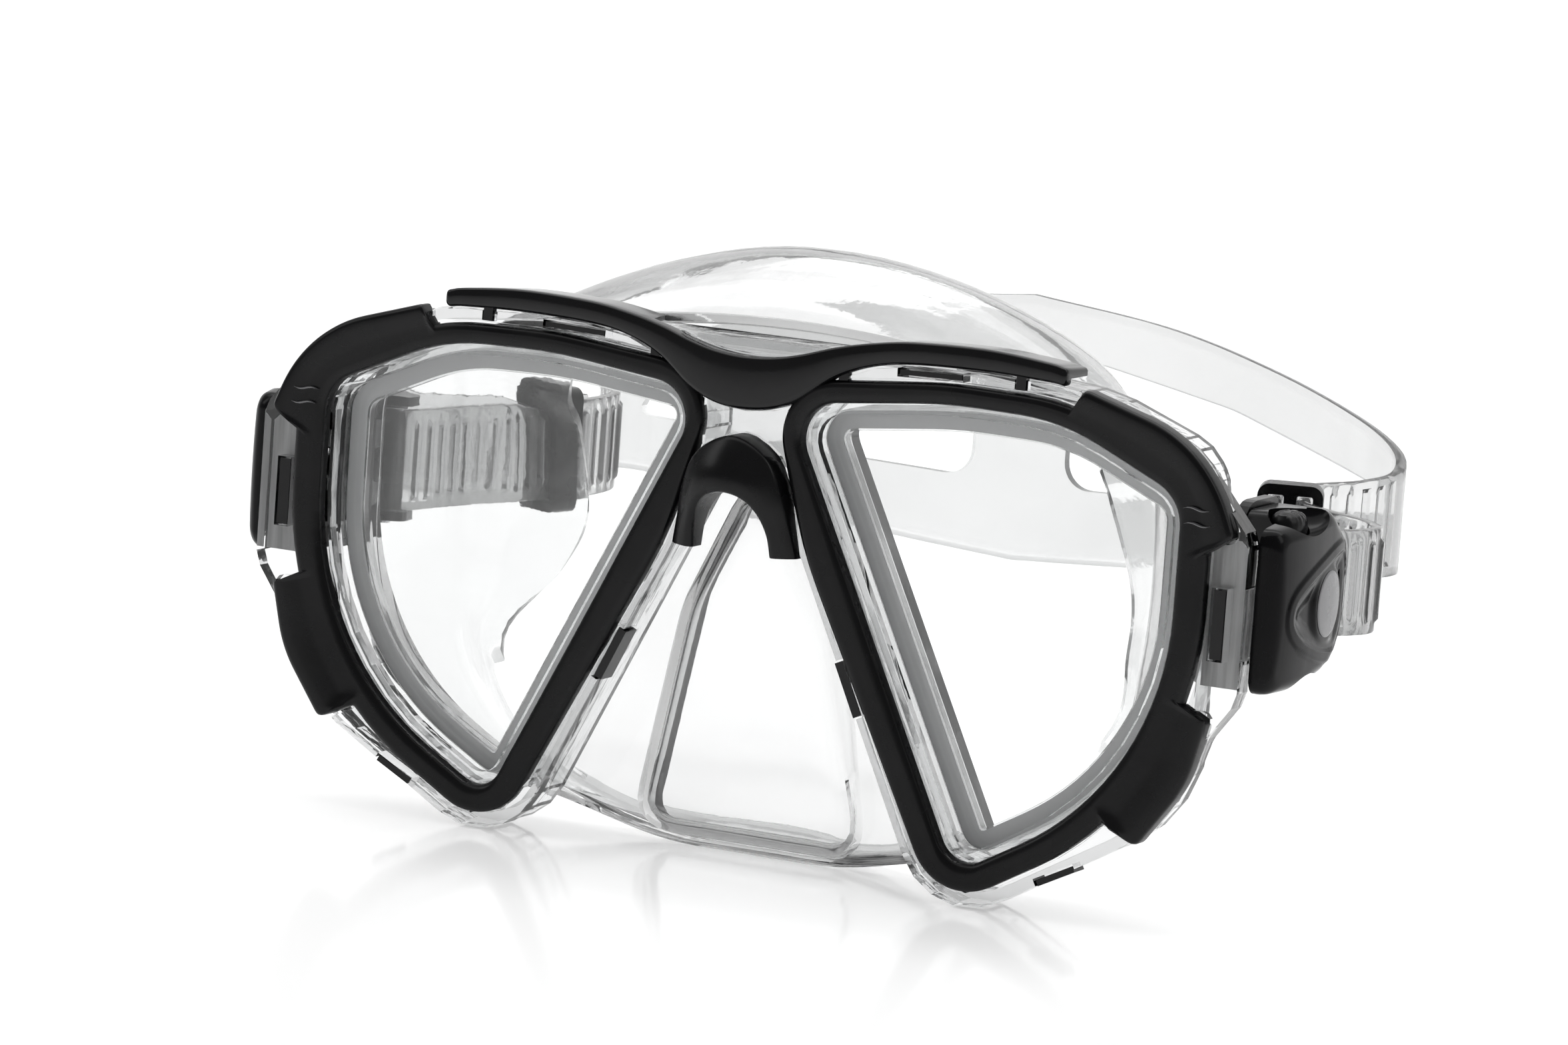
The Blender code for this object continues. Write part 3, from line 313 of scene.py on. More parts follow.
def vary_roughness(made, scale, low, high, stretch=(1, 1, 1)):
    links = made.node_tree.links
    links.new(mapped(made, noise(made, scale, 4.0, stretch), low, high),
              made.node_tree.nodes["Principled BSDF"].inputs["Roughness"])


def vary_colour(made, scale, dark, light, stretch=(1, 1, 1)):
    nodes, links = made.node_tree.nodes, made.node_tree.links
    mix = nodes.new("ShaderNodeMix")
    mix.data_type = "RGBA"
    mix.inputs["A"].default_value = (*dark, 1)
    mix.inputs["B"].default_value = (*light, 1)
    links.new(mapped(made, noise(made, scale, 3.0, stretch), 0.0, 1.0), mix.inputs["Factor"])
    links.new(mix.outputs["Result"], nodes["Principled BSDF"].inputs["Base Color"])


def add_bumps(made, *layers):
    """Bump layers, each with a noise scale, a height in millimetres and a stretch."""
    nodes, links = made.node_tree.nodes, made.node_tree.links
    before = None
    for scale, height, stretch in layers:
        bump = nodes.new("ShaderNodeBump")
        bump.inputs["Distance"].default_value = height * MM
        bump.inputs["Strength"].default_value = 1.0
        links.new(noise(made, scale, 2.0, stretch), bump.inputs["Height"])
        if before:
            links.new(before.outputs["Normal"], bump.inputs["Normal"])
        before = bump
    links.new(before.outputs["Normal"], nodes["Principled BSDF"].inputs["Normal"])


def absorb(made, tint, density):
    """Light that the solid takes up on its way through, so thick edges look darker than thin walls."""
    nodes, links = made.node_tree.nodes, made.node_tree.links
    volume = nodes.new("ShaderNodeVolumeAbsorption")
    volume.inputs["Color"].default_value = (*tint, 1)
    volume.inputs["Density"].default_value = density
    links.new(volume.outputs["Volume"], nodes["Material Output"].inputs["Volume"])


EVEN = (1, 1, 1)


def black_satin():
    """Moulded black plastic: fine grain, a slow waviness from moulding and rubbed patches."""
    made = principled("black_satin", (0.004, 0.004, 0.0045), 0.28, Specular_IOR_Level=0.22)
    vary_roughness(made, 160, 0.22, 0.32)
    vary_colour(made, 90, (0.003, 0.003, 0.0035), (0.006, 0.006, 0.0065))
    add_bumps(made, (4200, 0.006, EVEN), (140, 0.05, EVEN))
    return made


def black_shell():
    """The buckle's moulding, darker and more polished than the bezels."""
    made = principled("black_shell", (0.003, 0.003, 0.0035), 0.18, Specular_IOR_Level=0.12)
    vary_roughness(made, 120, 0.14, 0.22)
    vary_colour(made, 90, (0.002, 0.002, 0.0025), (0.0045, 0.0045, 0.005))
    add_bumps(made, (4200, 0.004, EVEN), (140, 0.04, EVEN))
    return made


def black_gloss():
    made = principled("black_gloss", (0.005, 0.005, 0.0055), 0.12, Specular_IOR_Level=0.3)
    vary_roughness(made, 120, 0.07, 0.14)
    vary_colour(made, 70, (0.004, 0.004, 0.0045), (0.007, 0.007, 0.0075))
    add_bumps(made, (3000, 0.003, EVEN), (110, 0.05, EVEN))
    return made


def clear_plastic():
    """Polished polycarbonate with the flow lines that moulding leaves in it."""
    made = principled("clear_polycarbonate", (0.965, 0.97, 0.972), 0.03, IOR=1.5, Transmission_Weight=1.0)
    vary_roughness(made, 60, 0.01, 0.06)
    add_bumps(made, (260, 0.10, (1, 1, 0.12)), (70, 0.25, EVEN))
    absorb(made, (0.3, 0.3, 0.3), 60)
    return made


def lens_glass():
    made = principled("tempered_glass", (0.985, 0.99, 0.99), 0.0, IOR=1.45, Transmission_Weight=1.0)
    vary_roughness(made, 40, 0.0, 0.012)
    return made


def silicone():
    """Clear silicone rubber: soft, slightly milky and faintly uneven."""
    made = principled("clear_silicone", (0.95, 0.955, 0.955), 0.10, IOR=1.38, Transmission_Weight=0.96)
    vary_roughness(made, 110, 0.02, 0.08)
    vary_colour(made, 45, (0.93, 0.935, 0.935), (0.97, 0.975, 0.975))
    add_bumps(made, (900, 0.012, EVEN), (80, 0.18, EVEN))
    absorb(made, (0.3, 0.3, 0.3), 150)
    return made


def strap_silicone():
    made = principled("strap_silicone", (0.94, 0.945, 0.945), 0.15, IOR=1.41, Transmission_Weight=0.93)
    vary_roughness(made, 140, 0.06, 0.14)
    vary_colour(made, 60, (0.92, 0.925, 0.925), (0.96, 0.965, 0.965))
    add_bumps(made, (1200, 0.005, EVEN), (100, 0.06, EVEN))
    absorb(made, (0.3, 0.3, 0.3), 190)
    return made


def seal_silicone():
    """The frosted band that the skirt shows behind each lens."""
    made = principled("frosted_seal", (0.93, 0.93, 0.935), 0.5, IOR=1.35, Transmission_Weight=0.25)
    vary_roughness(made, 300, 0.45, 0.6)
    vary_colour(made, 35, (0.9, 0.905, 0.91), (0.98, 0.985, 0.99))
    add_bumps(made, (2500, 0.01, EVEN))
    return made


def frosted_plastic():
    """Ribbed clear plastic. The light that its upright ribs scatter is painted into its colour as pale and
    dark streaks.
    """
    made = principled("frosted_polycarbonate", (0.9, 0.905, 0.91), 0.15, IOR=1.5, Transmission_Weight=0.12)
    vary_roughness(made, 260, 0.08, 0.25)
    # painted light and shade: pale and dark upright streaks in the base colour stand for light scattered by
    # the ribs
    vary_colour(made, 620, (0.5, 0.5, 0.502), (1, 1, 1), (1, 1, 0.07))
    add_bumps(made, (600, 0.2, (1, 1, 0.08)))
    return made


def badge_finish():
    made = principled("badge_grey", (0.16, 0.16, 0.165), 0.25, Metallic=0.3)
    vary_roughness(made, 200, 0.2, 0.32)
    add_bumps(made, (2600, 0.003, EVEN))
    return made


def steel():
    made = principled("stainless_steel", (0.6, 0.6, 0.61), 0.25, Metallic=1.0)
    vary_roughness(made, 900, 0.18, 0.34, (1, 1, 0.1))
    add_bumps(made, (2600, 0.003, (1, 1, 0.1)))
    return made


SATIN, GLOSS, CLEAR, GLASS = black_satin(), black_gloss(), clear_plastic(), lens_glass()
SHELL = black_shell()
SILICONE, STRAP, SEAL, BADGE, STEEL = silicone(), strap_silicone(), seal_silicone(), badge_finish(), steel()
FROST = frosted_plastic()


# ---------------------------------------------------------------- mesh building

def add_mesh(name, bm, paint, angle=40):
    bmesh.ops.remove_doubles(bm, verts=bm.verts, dist=0.000004)
    bmesh.ops.recalc_face_normals(bm, faces=bm.faces)
    mesh = bpy.data.meshes.new(name)
    bm.to_mesh(mesh)
    bm.free()
    mesh.materials.append(paint)
    made = bpy.data.objects.new(name, mesh)
    bpy.context.scene.collection.objects.link(made)
    mesh.shade_smooth()
    mesh.set_sharp_from_angle(angle=math.radians(angle))
    return made


def skin(bm, sections, closed=False):
    """Quads between rows of points with the same count, capped at both ends where the row is open."""
    rings = [[bm.verts.new(place(*point)) for point in section] for section in sections]
    pairs = list(zip(rings, rings[1:]))
    if closed:
        pairs.append((rings[-1], rings[0]))
    size = len(rings[0])
    for a, b in pairs:
        for k in range(size):
            following = (k + 1) % size
            bm.faces.new((a[k], a[following], b[following], b[k]))
    if not closed:
        bm.faces.new(rings[0])
        bm.faces.new(list(reversed(rings[-1])))


def loft(name, sections, paint, closed=False, angle=40):
    bm = bmesh.new()
    skin(bm, sections, closed)
    return add_mesh(name, bm, paint, angle)


TURN = {"Y": lambda a, b, c: (a, c, b), "X": lambda a, b, c: (c, a, b), "Z": lambda a, b, c: (a, b, c)}


def plate(name, outlines, axis, low, high, paint, edge=0.0):
    """A flat plate with holes, thick along an axis, with softened edges."""
    curve = bpy.data.curves.new(name, "CURVE")
    curve.dimensions = "2D"
    curve.fill_mode = "BOTH"
    curve.extrude = (high - low) / 2 * MM
    for outline in outlines:
        spline = curve.splines.new("POLY")
        spline.points.add(len(outline) - 1)
        for slot, point in zip(spline.points, outline):
            slot.co = (point[0] * MM, point[1] * MM, 0, 1)
        spline.use_cyclic_u = True
    flat = bpy.data.objects.new(name + "_outline", curve)
    bpy.context.scene.collection.objects.link(flat)
    mesh = bpy.data.meshes.new_from_object(flat.evaluated_get(bpy.context.evaluated_depsgraph_get()))
    bpy.data.objects.remove(flat, do_unlink=True)
    bm = bmesh.new()
    bm.from_mesh(mesh)
    bmesh.ops.remove_doubles(bm, verts=bm.verts, dist=0.000004)
    for vert in bm.verts:
        x, y, z = vert.co / MM
        vert.co = place(*TURN[axis](x, y, z + (low + high) / 2))
    bmesh.ops.dissolve_limit(bm, angle_limit=math.radians(0.5), verts=bm.verts, edges=bm.edges)
    made = add_mesh(name, bm, paint)
    if edge:
        soften(made, edge)
    return made


def soften(target, width):
    step = target.modifiers.new("edges", "BEVEL")
    step.width = width * MM
    step.segments = 3
    step.limit_method = "ANGLE"
    step.angle_limit = math.radians(35)


def settle(target, angle=40):
    """Turns the modifiers into plain mesh."""
    graph = bpy.context.evaluated_depsgraph_get()
    graph.update()
    mesh = bpy.data.meshes.new_from_object(target.evaluated_get(graph))
    target.modifiers.clear()
    target.data = mesh
    mesh.shade_smooth()
    mesh.set_sharp_from_angle(angle=math.radians(angle))


def combine(target, tools, operation):
    for tool in tools:
        step = target.modifiers.new("shape", "BOOLEAN")
        step.operation = operation
        step.solver = "MANIFOLD"
        step.object = tool


def drop(tools):
    for tool in tools:
        bpy.data.objects.remove(tool, do_unlink=True)


def fit(piece, body, slot, *nodes):
    """Ties a piece to its CAD body and hides the nodes that it stands for; the slot is not used."""
    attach(piece, body)
    if nodes:
        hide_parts(*nodes)


def on_both_sides(make):
    """Makes a +X piece, and its mirror image for the wearer's right side."""
    made = make("left")
    bpy.context.view_layer.update()
    settle(made)
    mesh = made.data.copy()
    mesh.transform(Matrix.Scale(-1, 4, (1, 0, 0)))
    mesh.flip_normals()
    other = bpy.data.objects.new(made.name.replace("left", "right"), mesh)
    bpy.context.scene.collection.objects.link(other)
    return made, other


def dress(make, body, slot, *nodes):
    """A piece for each side, in place of that side's CAD nodes, where {} stands for the side's name."""
    for piece, (side, _) in zip(on_both_sides(make), SIDES):
        fit(piece, body.format(side), slot, *[node.format(side) for node in nodes])


# ---------------------------------------------------------------- bezels and lenses

def bezel_rays():
    """For each ray from the lens's centre: its direction, the opening, the ring's edge and the pads' edge."""
    inner = rounded(OPENING)
    edge = rounded(BEZEL_EDGE)
    pads = [rounded(UPPER_PAD), rounded(LOWER_PAD)]
    rays = []
    for k in range(BEZEL_RAYS):
        angle = 2 * math.pi * k / BEZEL_RAYS
        ray = Vector((math.cos(angle), math.sin(angle)))
        near, ring = reach_of(inner, ray, LENS_CENTRE), reach_of(edge, ray, LENS_CENTRE)
        rays.append([ray, near, ring, max([ring] + [reach_of(pad, ray, LENS_CENTRE) for pad in pads])])
    far = [row[3] for row in rays]
    for k, row in enumerate(rays):
        row[3] = sum(far[(k + shift) % BEZEL_RAYS] for shift in (-1, 0, 1)) / 3
    return rays


def bezel(side):
    """The ring round a lens, which swells into a corner pad above and below."""
    sections = []
    for ray, near, ring, far in bezel_rays():
        swell = ease(far - ring, 0.3, 2.0)
        front = BEZEL_FRONT + (PAD_FRONT - BEZEL_FRONT) * swell
        width = far - near
        profile = [(0, 0), (0, BEZEL_FRONT + 1.1), (0.12, BEZEL_FRONT + 0.65), (0.45, BEZEL_FRONT + 0.28),
                   (1.0, BEZEL_FRONT + 0.06), (1.6, BEZEL_FRONT)]
        for share in (0.35, 0.5, 0.65, 0.8):
            dish = 0.22 * swell * math.sin(math.pi * min(1.0, share))
            profile.append((1.6 + (width - 1.6 - BEZEL_ROUND) * share,
                            BEZEL_FRONT + (front - BEZEL_FRONT) * ease(share, 0.1, 0.8) + dish))
        profile += [(width - BEZEL_ROUND, front), (width - 0.45, front + 0.14), (width - 0.12, front + 0.5),
                    (width, front + 1.1), (width, 0)]
        section = []
        for along, depth in profile:
            spot = LENS_CENTRE + ray * (near + along)
            section.append((spot.x, depth, spot.y))
        sections.append(section)
    return loft(f"bezel_{side}", sections, SATIN, closed=True, angle=50)


def pad_waves(side):
    """Short raised wavy lines on the upper pad, painted in the badge's light grey as a painted highlight on
    their black ridges.
    """
    bm = bmesh.new()
    for x, z in WAVE_SPOTS:
        sections = []
        for k in range(WAVE_STEPS + 1):
            t = k / WAVE_STEPS
            across = x + (t - 0.5) * WAVE_LENGTH
            rise = z + 0.2 * math.sin(2 * math.pi * t)
            half = 0.16 * math.sin(math.pi * min(0.97, max(0.03, t))) + 0.03
            profile = ((0.35, -1), (-0.05, -0.6), (-0.1, 0), (-0.05, 0.6), (0.35, 1))
            sections.append([(across, PAD_FRONT + depth, rise + half * share) for depth, share in profile])
        skin(bm, sections)
    # painted highlight: the black ridges take the badge's grey so that they show as light lines
    return add_mesh(f"pad_waves_{side}", bm, BADGE)


def wing_backing(side):
    """The fine upright ribs moulded on the back of the frame's side plate, which scatter the light; that
    scattered light is painted on this sheet as pale and dark streaks.
    """
    low, high = WING_Z
    sections = []
    for k in range(WING_STEPS + 1):
        x = WING_X[0] + (WING_X[1] - WING_X[0]) * k / WING_STEPS
        rear = 3.07 + 0.07 * (1 + math.cos(2 * math.pi * k / 12))
        top = high - max(0.0, x - WING_CORNER)
        sections.append([(x, 3.03, low), (x, rear, low), (x, rear, top), (x, 3.03, top)])
    return loft(f"side_ribs_{side}", sections, FROST, angle=20)


def seal_band(side):
    """The skirt's frosted seal as it shows through the rim of the lens."""
    opening = even(rounded(OPENING), 0.8)
    outlines = [offset(opening, -COLLAR_INSET - 0.3), offset(opening, -SEAL_INSET + 0.3)]
    return plate(f"seal_band_{side}", outlines, "Y", SEAL_FACE - 0.1, SEAL_FACE + 0.12, SEAL)


# ---------------------------------------------------------------- brow bar and nose bridge clip

def brow_section(x, low, high, front):
    """A rounded bar with a flat top that runs back as a flange."""
    tall = high - low
    back = BROW_TOP_BACK if abs(x) > BROW_MIDDLE else 0.0
    rim = min(0.9, tall * 0.22)
    lip = high - 1.1
    return [(x, -0.05, low), (x, front + 1.1, low), (x, front + 0.45, low + rim * 0.25),
            (x, front + 0.12, low + rim * 0.7), (x, front, low + rim * 1.3),
            (x, front - 0.02, low + tall * 0.55), (x, front + 0.05, high - rim * 0.9),
            (x, front + 0.14, high - rim * 0.4), (x, front + 0.36, high - rim * 0.1),
            (x, front + 0.7, high), (x, -0.05 if abs(x) < BROW_MIDDLE else 0.4, high - 0.05),
            (x, back, high - 0.35), (x, back, lip), (x, 0.0, lip)]


def brow_bar():
    full = [(-x, low, high, front) for x, low, high, front in BROW[:0:-1]] + list(BROW)
    smooth = catmull(full, 8)
    half = smooth[len(smooth) // 2:]
    end = half[-1]
    tip = [(end[0] + grow, end[1] + inset, end[2] - inset, end[3] + inset)
           for grow, inset in ((0.35, 0.12), (0.55, 0.3), (0.65, 0.55))]
    half += tip
    run = [(-x, low, high, front) for x, low, high, front in half[:0:-1]] + half
    bm = bmesh.new()
    skin(bm, [brow_section(*row) for row in run])
    for side, sign in SIDES:
        for x, low, high in BROW_TABS:
            near, far = sign * (x - BROW_TAB_HALF), sign * (x + BROW_TAB_HALF)
            corners = [(near, low), (far, low), (far, high), (near, high)]
            skin(bm, [[(a, y, b) for a, b in corners] for y in (-1.35, -0.1)])
    fit(add_mesh("brow_trim", bm, GLOSS, 50), "mask", "black_gloss", "brow_bar")


def bridge_clip():
    mirror = [(-xi, zi, -xo, zo, front) for xi, zi, xo, zo, front in BRIDGE[-2::-1]]
    run = catmull(list(BRIDGE) + mirror, 8)
    sections = []
    for xi, zi, xo, zo, front in run:
        inner, outer = Vector((xi, zi)), Vector((xo, zo))
        width = (outer - inner).length
        across = (outer - inner) / width
        slope = 2.6 * width / 9
        rows = [(0, 0), (0, front + 1.0), (0.15, front + 0.55), (0.5, front + 0.15), (1.0, front),
                (width * 0.35, front + 0.04 * slope), (width * 0.55, front + 0.3 * slope),
                (width * 0.78, front + 0.68 * slope), (width - 0.6, front + slope + 0.02),
                (width - 0.2, front + slope + 0.3), (width, front + slope + 0.9), (width, 0)]
        spots = [(inner + across * along, depth) for along, depth in rows]
        sections.append([(spot.x, depth, spot.y) for spot, depth in spots])
    fit(loft("nose_bridge", sections, SATIN, angle=50), "mask", "black_satin", "nose_bridge_clip")


# ---------------------------------------------------------------- skirt

def within(z):
    return min(max(z, 0), SKIRT_TOP)


def skirt_loops(span, steps):
    """The skirt's outside as closed runs of points, from the plate behind the frame to the free edge."""
    levels = []
    for level in range(4):
        half = [(p[level][0], SKIRT_PLATE, p[level][1]) if level == 0 else p[level] for p in SKIRT]
        full = half + [(-x, y, z) for x, y, z in half[-2:0:-1]]
        levels.append([Vector((x, y, within(z))) for x, y, z in catmull(full, span, closed=True)])
    shoulder = offset([Vector((p.x, p.z)) for p in levels[0]], -SHOULDER_INSET)
    shoulder = [Vector((p.x, SHOULDER_Y, max(p.y, 0))) for p in shoulder]
    loops = [levels[0], shoulder]
    for k in range(1, steps + 1):
        loops.append([])
    for column in zip(shoulder, levels[1], levels[2], levels[3]):
        path = catmull([tuple(p) for p in column], steps // 3)[1:]
        for loop, point in zip(loops[2:], path):
            loop.append(Vector((point[0], point[1], within(point[2]))))
    return loops


def skirt_inward(loops, level, k):
    loop = loops[level]
    along = loop[(k + 1) % len(loop)] - loop[k - 1]
    deeper = loops[min(level + 1, len(loops) - 1)][k] - loops[max(level - 1, 0)][k]
    if level < 2:
        deeper = Vector((0, 1, 0))
    normal = along.cross(deeper).normalized()
    middle = Vector((0, loop[k].y + 12, 47))
    return normal if normal.dot(middle - loop[k]) > 0 else -normal


def skirt_bowl(name, loops, depth):
    moved = [[point + skirt_inward(loops, level, k) * depth for k, point in enumerate(loop)]
             for level, loop in enumerate(loops)]
    if depth:
        for point in moved[0]:
            point.y += depth
        moved[-1] = [edge + (edge - before) * 0.6 for before, edge in zip(moved[-2], moved[-1])]
        moved.append([point + Vector((0, 12, 0)) for point in moved[-1]])
    else:
        last = len(loops) - 1
        moved.append([point + skirt_inward(loops, last, k) * (SKIRT_THICKNESS + 1.1)
                      for k, point in enumerate(loops[last])])
    return loft(name, moved, SILICONE)


def nose_solid(name, depth, end):
    """The nose pocket's solid, a given depth inside its outside."""
    centre = Vector((0, 26))
    rings = []
    for corners in (NOSE_FRONT, NOSE_BACK):
        outline = offset(rounded(both_halves(corners)), -depth)
        ring = []
        for k in range(120):
            ray = Vector((math.cos(2 * math.pi * k / 120), math.sin(2 * math.pi * k / 120)))
            ring.append(centre + ray * reach_of(outline, ray, centre))
        rings.append(ring)
    front, rear = rings
    sections = []
    crown = 1.1
    middle = sum(front, Vector((0, 0))) / len(front)
    for inset, lift in ((0.72, 0.0), (0.86, 0.06), (0.95, 0.4), (1.0, crown)):
        sections.append([(middle.x + (p.x - middle.x) * inset,
                          NOSE_TOP_Y + depth + NOSE_SLOPE * (58 - p.y) + lift - (1 - inset) * 0.6,
                          middle.y + (p.y - middle.y) * inset) for p in front])
    sections.append([(p.x, SKIRT_PLATE, p.y) for p in rear])
    sections.append([(p.x, end, p.y) for p in rear])
    return loft(name, sections, SILICONE)


def lens_block(side, inset, low, high):
    outline = offset(even(rounded(OPENING), 1.2), -inset)
    return plate("block", [outline if side > 0 else mirrored(outline)], "Y", low, high, SILICONE)


def skirt():
    loops = skirt_loops(6, 12)
    wall = SKIRT_THICKNESS
    body = skirt_bowl("skirt_shell", loops, 0)
    outside = [nose_solid("nose", 0, SKIRT_PLATE + 0.8)]
    inside = [skirt_bowl("room", loops, wall), nose_solid("nose_room", wall, SKIRT_PLATE + wall + 0.4)]
    for side, sign in SIDES:
        outside.append(lens_block(sign, COLLAR_INSET, SEAL_FRONT, SKIRT_PLATE + 0.5))
        inside.append(lens_block(sign, COLLAR_INSET + wall, SEAL_FRONT + wall, SKIRT_PLATE + wall + 0.3))
        inside.append(lens_block(sign, SEAL_INSET, 0, SKIRT_PLATE))
    combine(body, outside, "UNION")
    combine(body, inside, "DIFFERENCE")
    settle(body, 50)
    drop(outside + inside)
    bm = bmesh.new()
    bm.from_mesh(body.data)
    keep_main_body(bm)
    bm.to_mesh(body.data)
    bm.free()
    body.data.set_sharp_from_angle(angle=math.radians(50))
    fit(body, "mask", "clear_silicone", "skirt")


def keep_main_body(bm):
    """Drops the specks that an offset surface leaves where it folds."""
    waiting = set(bm.verts)
    main = set()
    while waiting:
        group = {waiting.pop()}
        front = list(group)
        while front:
            vert = front.pop()
            near = {edge.other_vert(vert) for edge in vert.link_edges} - group
            group |= near
            front += near
        waiting -= group
        if len(group) > len(main):
            main = group
    bmesh.ops.delete(bm, geom=[vert for vert in bm.verts if vert not in main], context="VERTS")


# ---------------------------------------------------------------- strap and keepers

KEEPER_ALONG = Vector((-math.sin(KEEPER_ANGLE), math.cos(KEEPER_ANGLE)))
KEEPER_ACROSS = Vector((math.cos(KEEPER_ANGLE), math.sin(KEEPER_ANGLE)))


def keeper_point(across, along):
    return KEEPER + KEEPER_ACROSS * across + KEEPER_ALONG * along


def half_route():
    """The strap's middle line from its tail, through the keeper and round the roller to the midline."""
    low, high = STRAP_ENDS
    keys = [keeper_point(KEEPER_LAYER, along) for along in (9.5, 6, 2, -2, -5.5)]
    keys += [Vector(point) for point in TAIL_LOOP]
    wrap = STRAP_THICKNESS / 2 + ROLLER_R + 0.4
    for degrees in (-42, -70, -98, -126, -150, -172):
        angle = math.radians(degrees)
        keys.append(ROLLER + Vector((math.cos(angle), math.sin(angle))) * wrap)
    keys += [Vector(point) for point in INNER_RUN]
    keys += [keeper_point(-KEEPER_LAYER, along) for along in (-5.5, -2, 2, 6)]
    rows = [(point.x, point.y, low, high) for point in keys]
    return catmull(rows + list(STRAP_BACK), 40)


def paced(route, ribbed):
    """The route's rows with their distance from the tail, close together as far as the ribs go."""
    result = [(0.0, route[0])]
    travelled = 0.0
    for before, row in zip(route, route[1:]):
        travelled += math.hypot(row[0] - before[0], row[1] - before[1])
        step = 0.3 if travelled < ribbed else 1.4
        if travelled - result[-1][0] >= step:
            result.append((travelled, row))
    result[-1] = (travelled, route[-1])
    return result


def rib_height(distance):
    if distance < RIBS_START or distance > RIBS_END:
        return 0.0
    phase = abs((distance / RIB_PITCH) % 1.0 - 0.5) * RIB_PITCH
    return RIB_HEIGHT * (1 - ease(phase, RIB_WIDTH / 2 - RIB_SLOPE, RIB_WIDTH / 2))


def strap():
    """One band with ribs on the face that the pawl grips, split in two at the back of the head."""
    half = paced(half_route(), RIBS_END)
    total = half[-1][0]
    rows = half + [(2 * total - distance, (-x, y, low, high))
                   for distance, (x, y, low, high) in half[-2::-1]]
    sections = []
    for k, (distance, (x, y, low, high)) in enumerate(rows):
        ahead, behind = rows[min(k + 1, len(rows) - 1)][1], rows[max(k - 1, 0)][1]
        along = Vector((ahead[0] - behind[0], ahead[1] - behind[1])).normalized()
        side = Vector((along.y, -along.x))
        rib = rib_height(min(distance, 2 * total - distance))
        thin = STRAP_THICKNESS / 2
        edge, soft = STRAP_EDGE, STRAP_EDGE * 0.3
        bottom, top = low + 2.3, high - 2.3
        heights = [bottom + (top - bottom) * step / STRAP_ROWS for step in range(STRAP_ROWS + 1)]
        ring = [(-thin, low + edge), (-thin, low + 1.6)] + [(-thin - rib, z) for z in heights]
        ring += [(-thin, high - 1.6), (-thin, high - edge), (-thin + soft, high - soft),
                 (-thin + edge, high), (thin - edge, high), (thin - soft, high - soft), (thin, high - edge)]
        ring += [(thin, z) for z in reversed(heights)]
        ring += [(thin, low + edge), (thin - soft, low + soft), (thin - edge, low), (-thin + edge, low),
                 (-thin + soft, low + soft)]
        sections.append([(x + side.x * across, max(STRAP_FRONT, y + side.y * across), level)
                         for across, level in ring])
    band = loft("head_strap", sections, STRAP, angle=35)
    tools = []
    outline = even(rounded(CUTOUT), 1.0)
    for side, sign in SIDES:
        tools.append(plate("cut", [outline if sign > 0 else mirrored(outline)], "Y", *CUTOUT_DEPTHS, STRAP))
    combine(band, tools, "DIFFERENCE")
    settle(band, 35)
    drop(tools)
    fit(band, "strap_assembly", "clear_silicone", "strap")


def keeper(side):
    wide, tall = KEEPER_HALF
    corners = [(-wide, -tall, 2.0), (wide, -tall, 2.0), (wide, tall, 2.0), (-wide, tall, 2.0)]
    reach = STRAP_THICKNESS / 2 + 0.35
    tall_slot = (STRAP_ENDS[1] - STRAP_ENDS[0]) / 2 + 0.4
    outlines = [rounded(corners)]
    for middle in (-KEEPER_LAYER, KEEPER_LAYER):
        outlines.append(rounded([(middle - reach, -tall_slot, 0.4), (middle + reach, -tall_slot, 0.4),
                                 (middle + reach, tall_slot, 0.4), (middle - reach, tall_slot, 0.4)]))
    loop = plate(f"keeper_{side}", outlines, "Y", -KEEPER_LENGTH / 2, KEEPER_LENGTH / 2, SATIN, 0.5)
    settle(loop)
    centre = place(0, 0, 0)
    loop.data.transform(Matrix.Translation(-centre))
    loop.data.transform(Matrix.Rotation(KEEPER_ANGLE, 4, "Z"))
    loop.data.transform(Matrix.Translation(place(KEEPER.x, KEEPER.y, PIVOT.y)))
    return loop


# ---------------------------------------------------------------- buckle

def plan_x(y):
    """How far out the shell's face stands at a depth."""
    for (y0, x0), (y1, x1) in zip(SHELL_PLAN, SHELL_PLAN[1:]):
        if y <= y1:
            return x0 + (x1 - x0) * (y - y0) / (y1 - y0)
    return SHELL_PLAN[-1][1]


def smooth_plan(y):
    deepest = SHELL_PLAN[-1][0]
    return sum(plan_x(min(deepest, max(0.0, y + shift))) for shift in (-2, -1, 0, 1, 2)) / 5


TEAR_LINE = [Vector(row) for row in catmull(TEAR, 8, closed=True)]


def tear_distance(point):
    """A signed distance from the teardrop line round the badge, negative inside it."""
    nearest, inside = 99.0, False
    for a, b in zip(TEAR_LINE, TEAR_LINE[1:] + TEAR_LINE[:1]):
        side, to_point = b - a, point - a
        share = min(1.0, max(0.0, to_point.dot(side) / side.length_squared))
        nearest = min(nearest, (to_point - side * share).length)
        if (a.y > point.y) != (b.y > point.y) and point.x < a.x + side.x * (point.y - a.y) / side.y:
            inside = not inside
    return -nearest if inside else nearest


def oval_distance(point, centre, half):
    away = point - centre
    return (math.hypot(away.x / half[0], away.y / half[1]) - 1) * (half[0] + half[1]) / 2


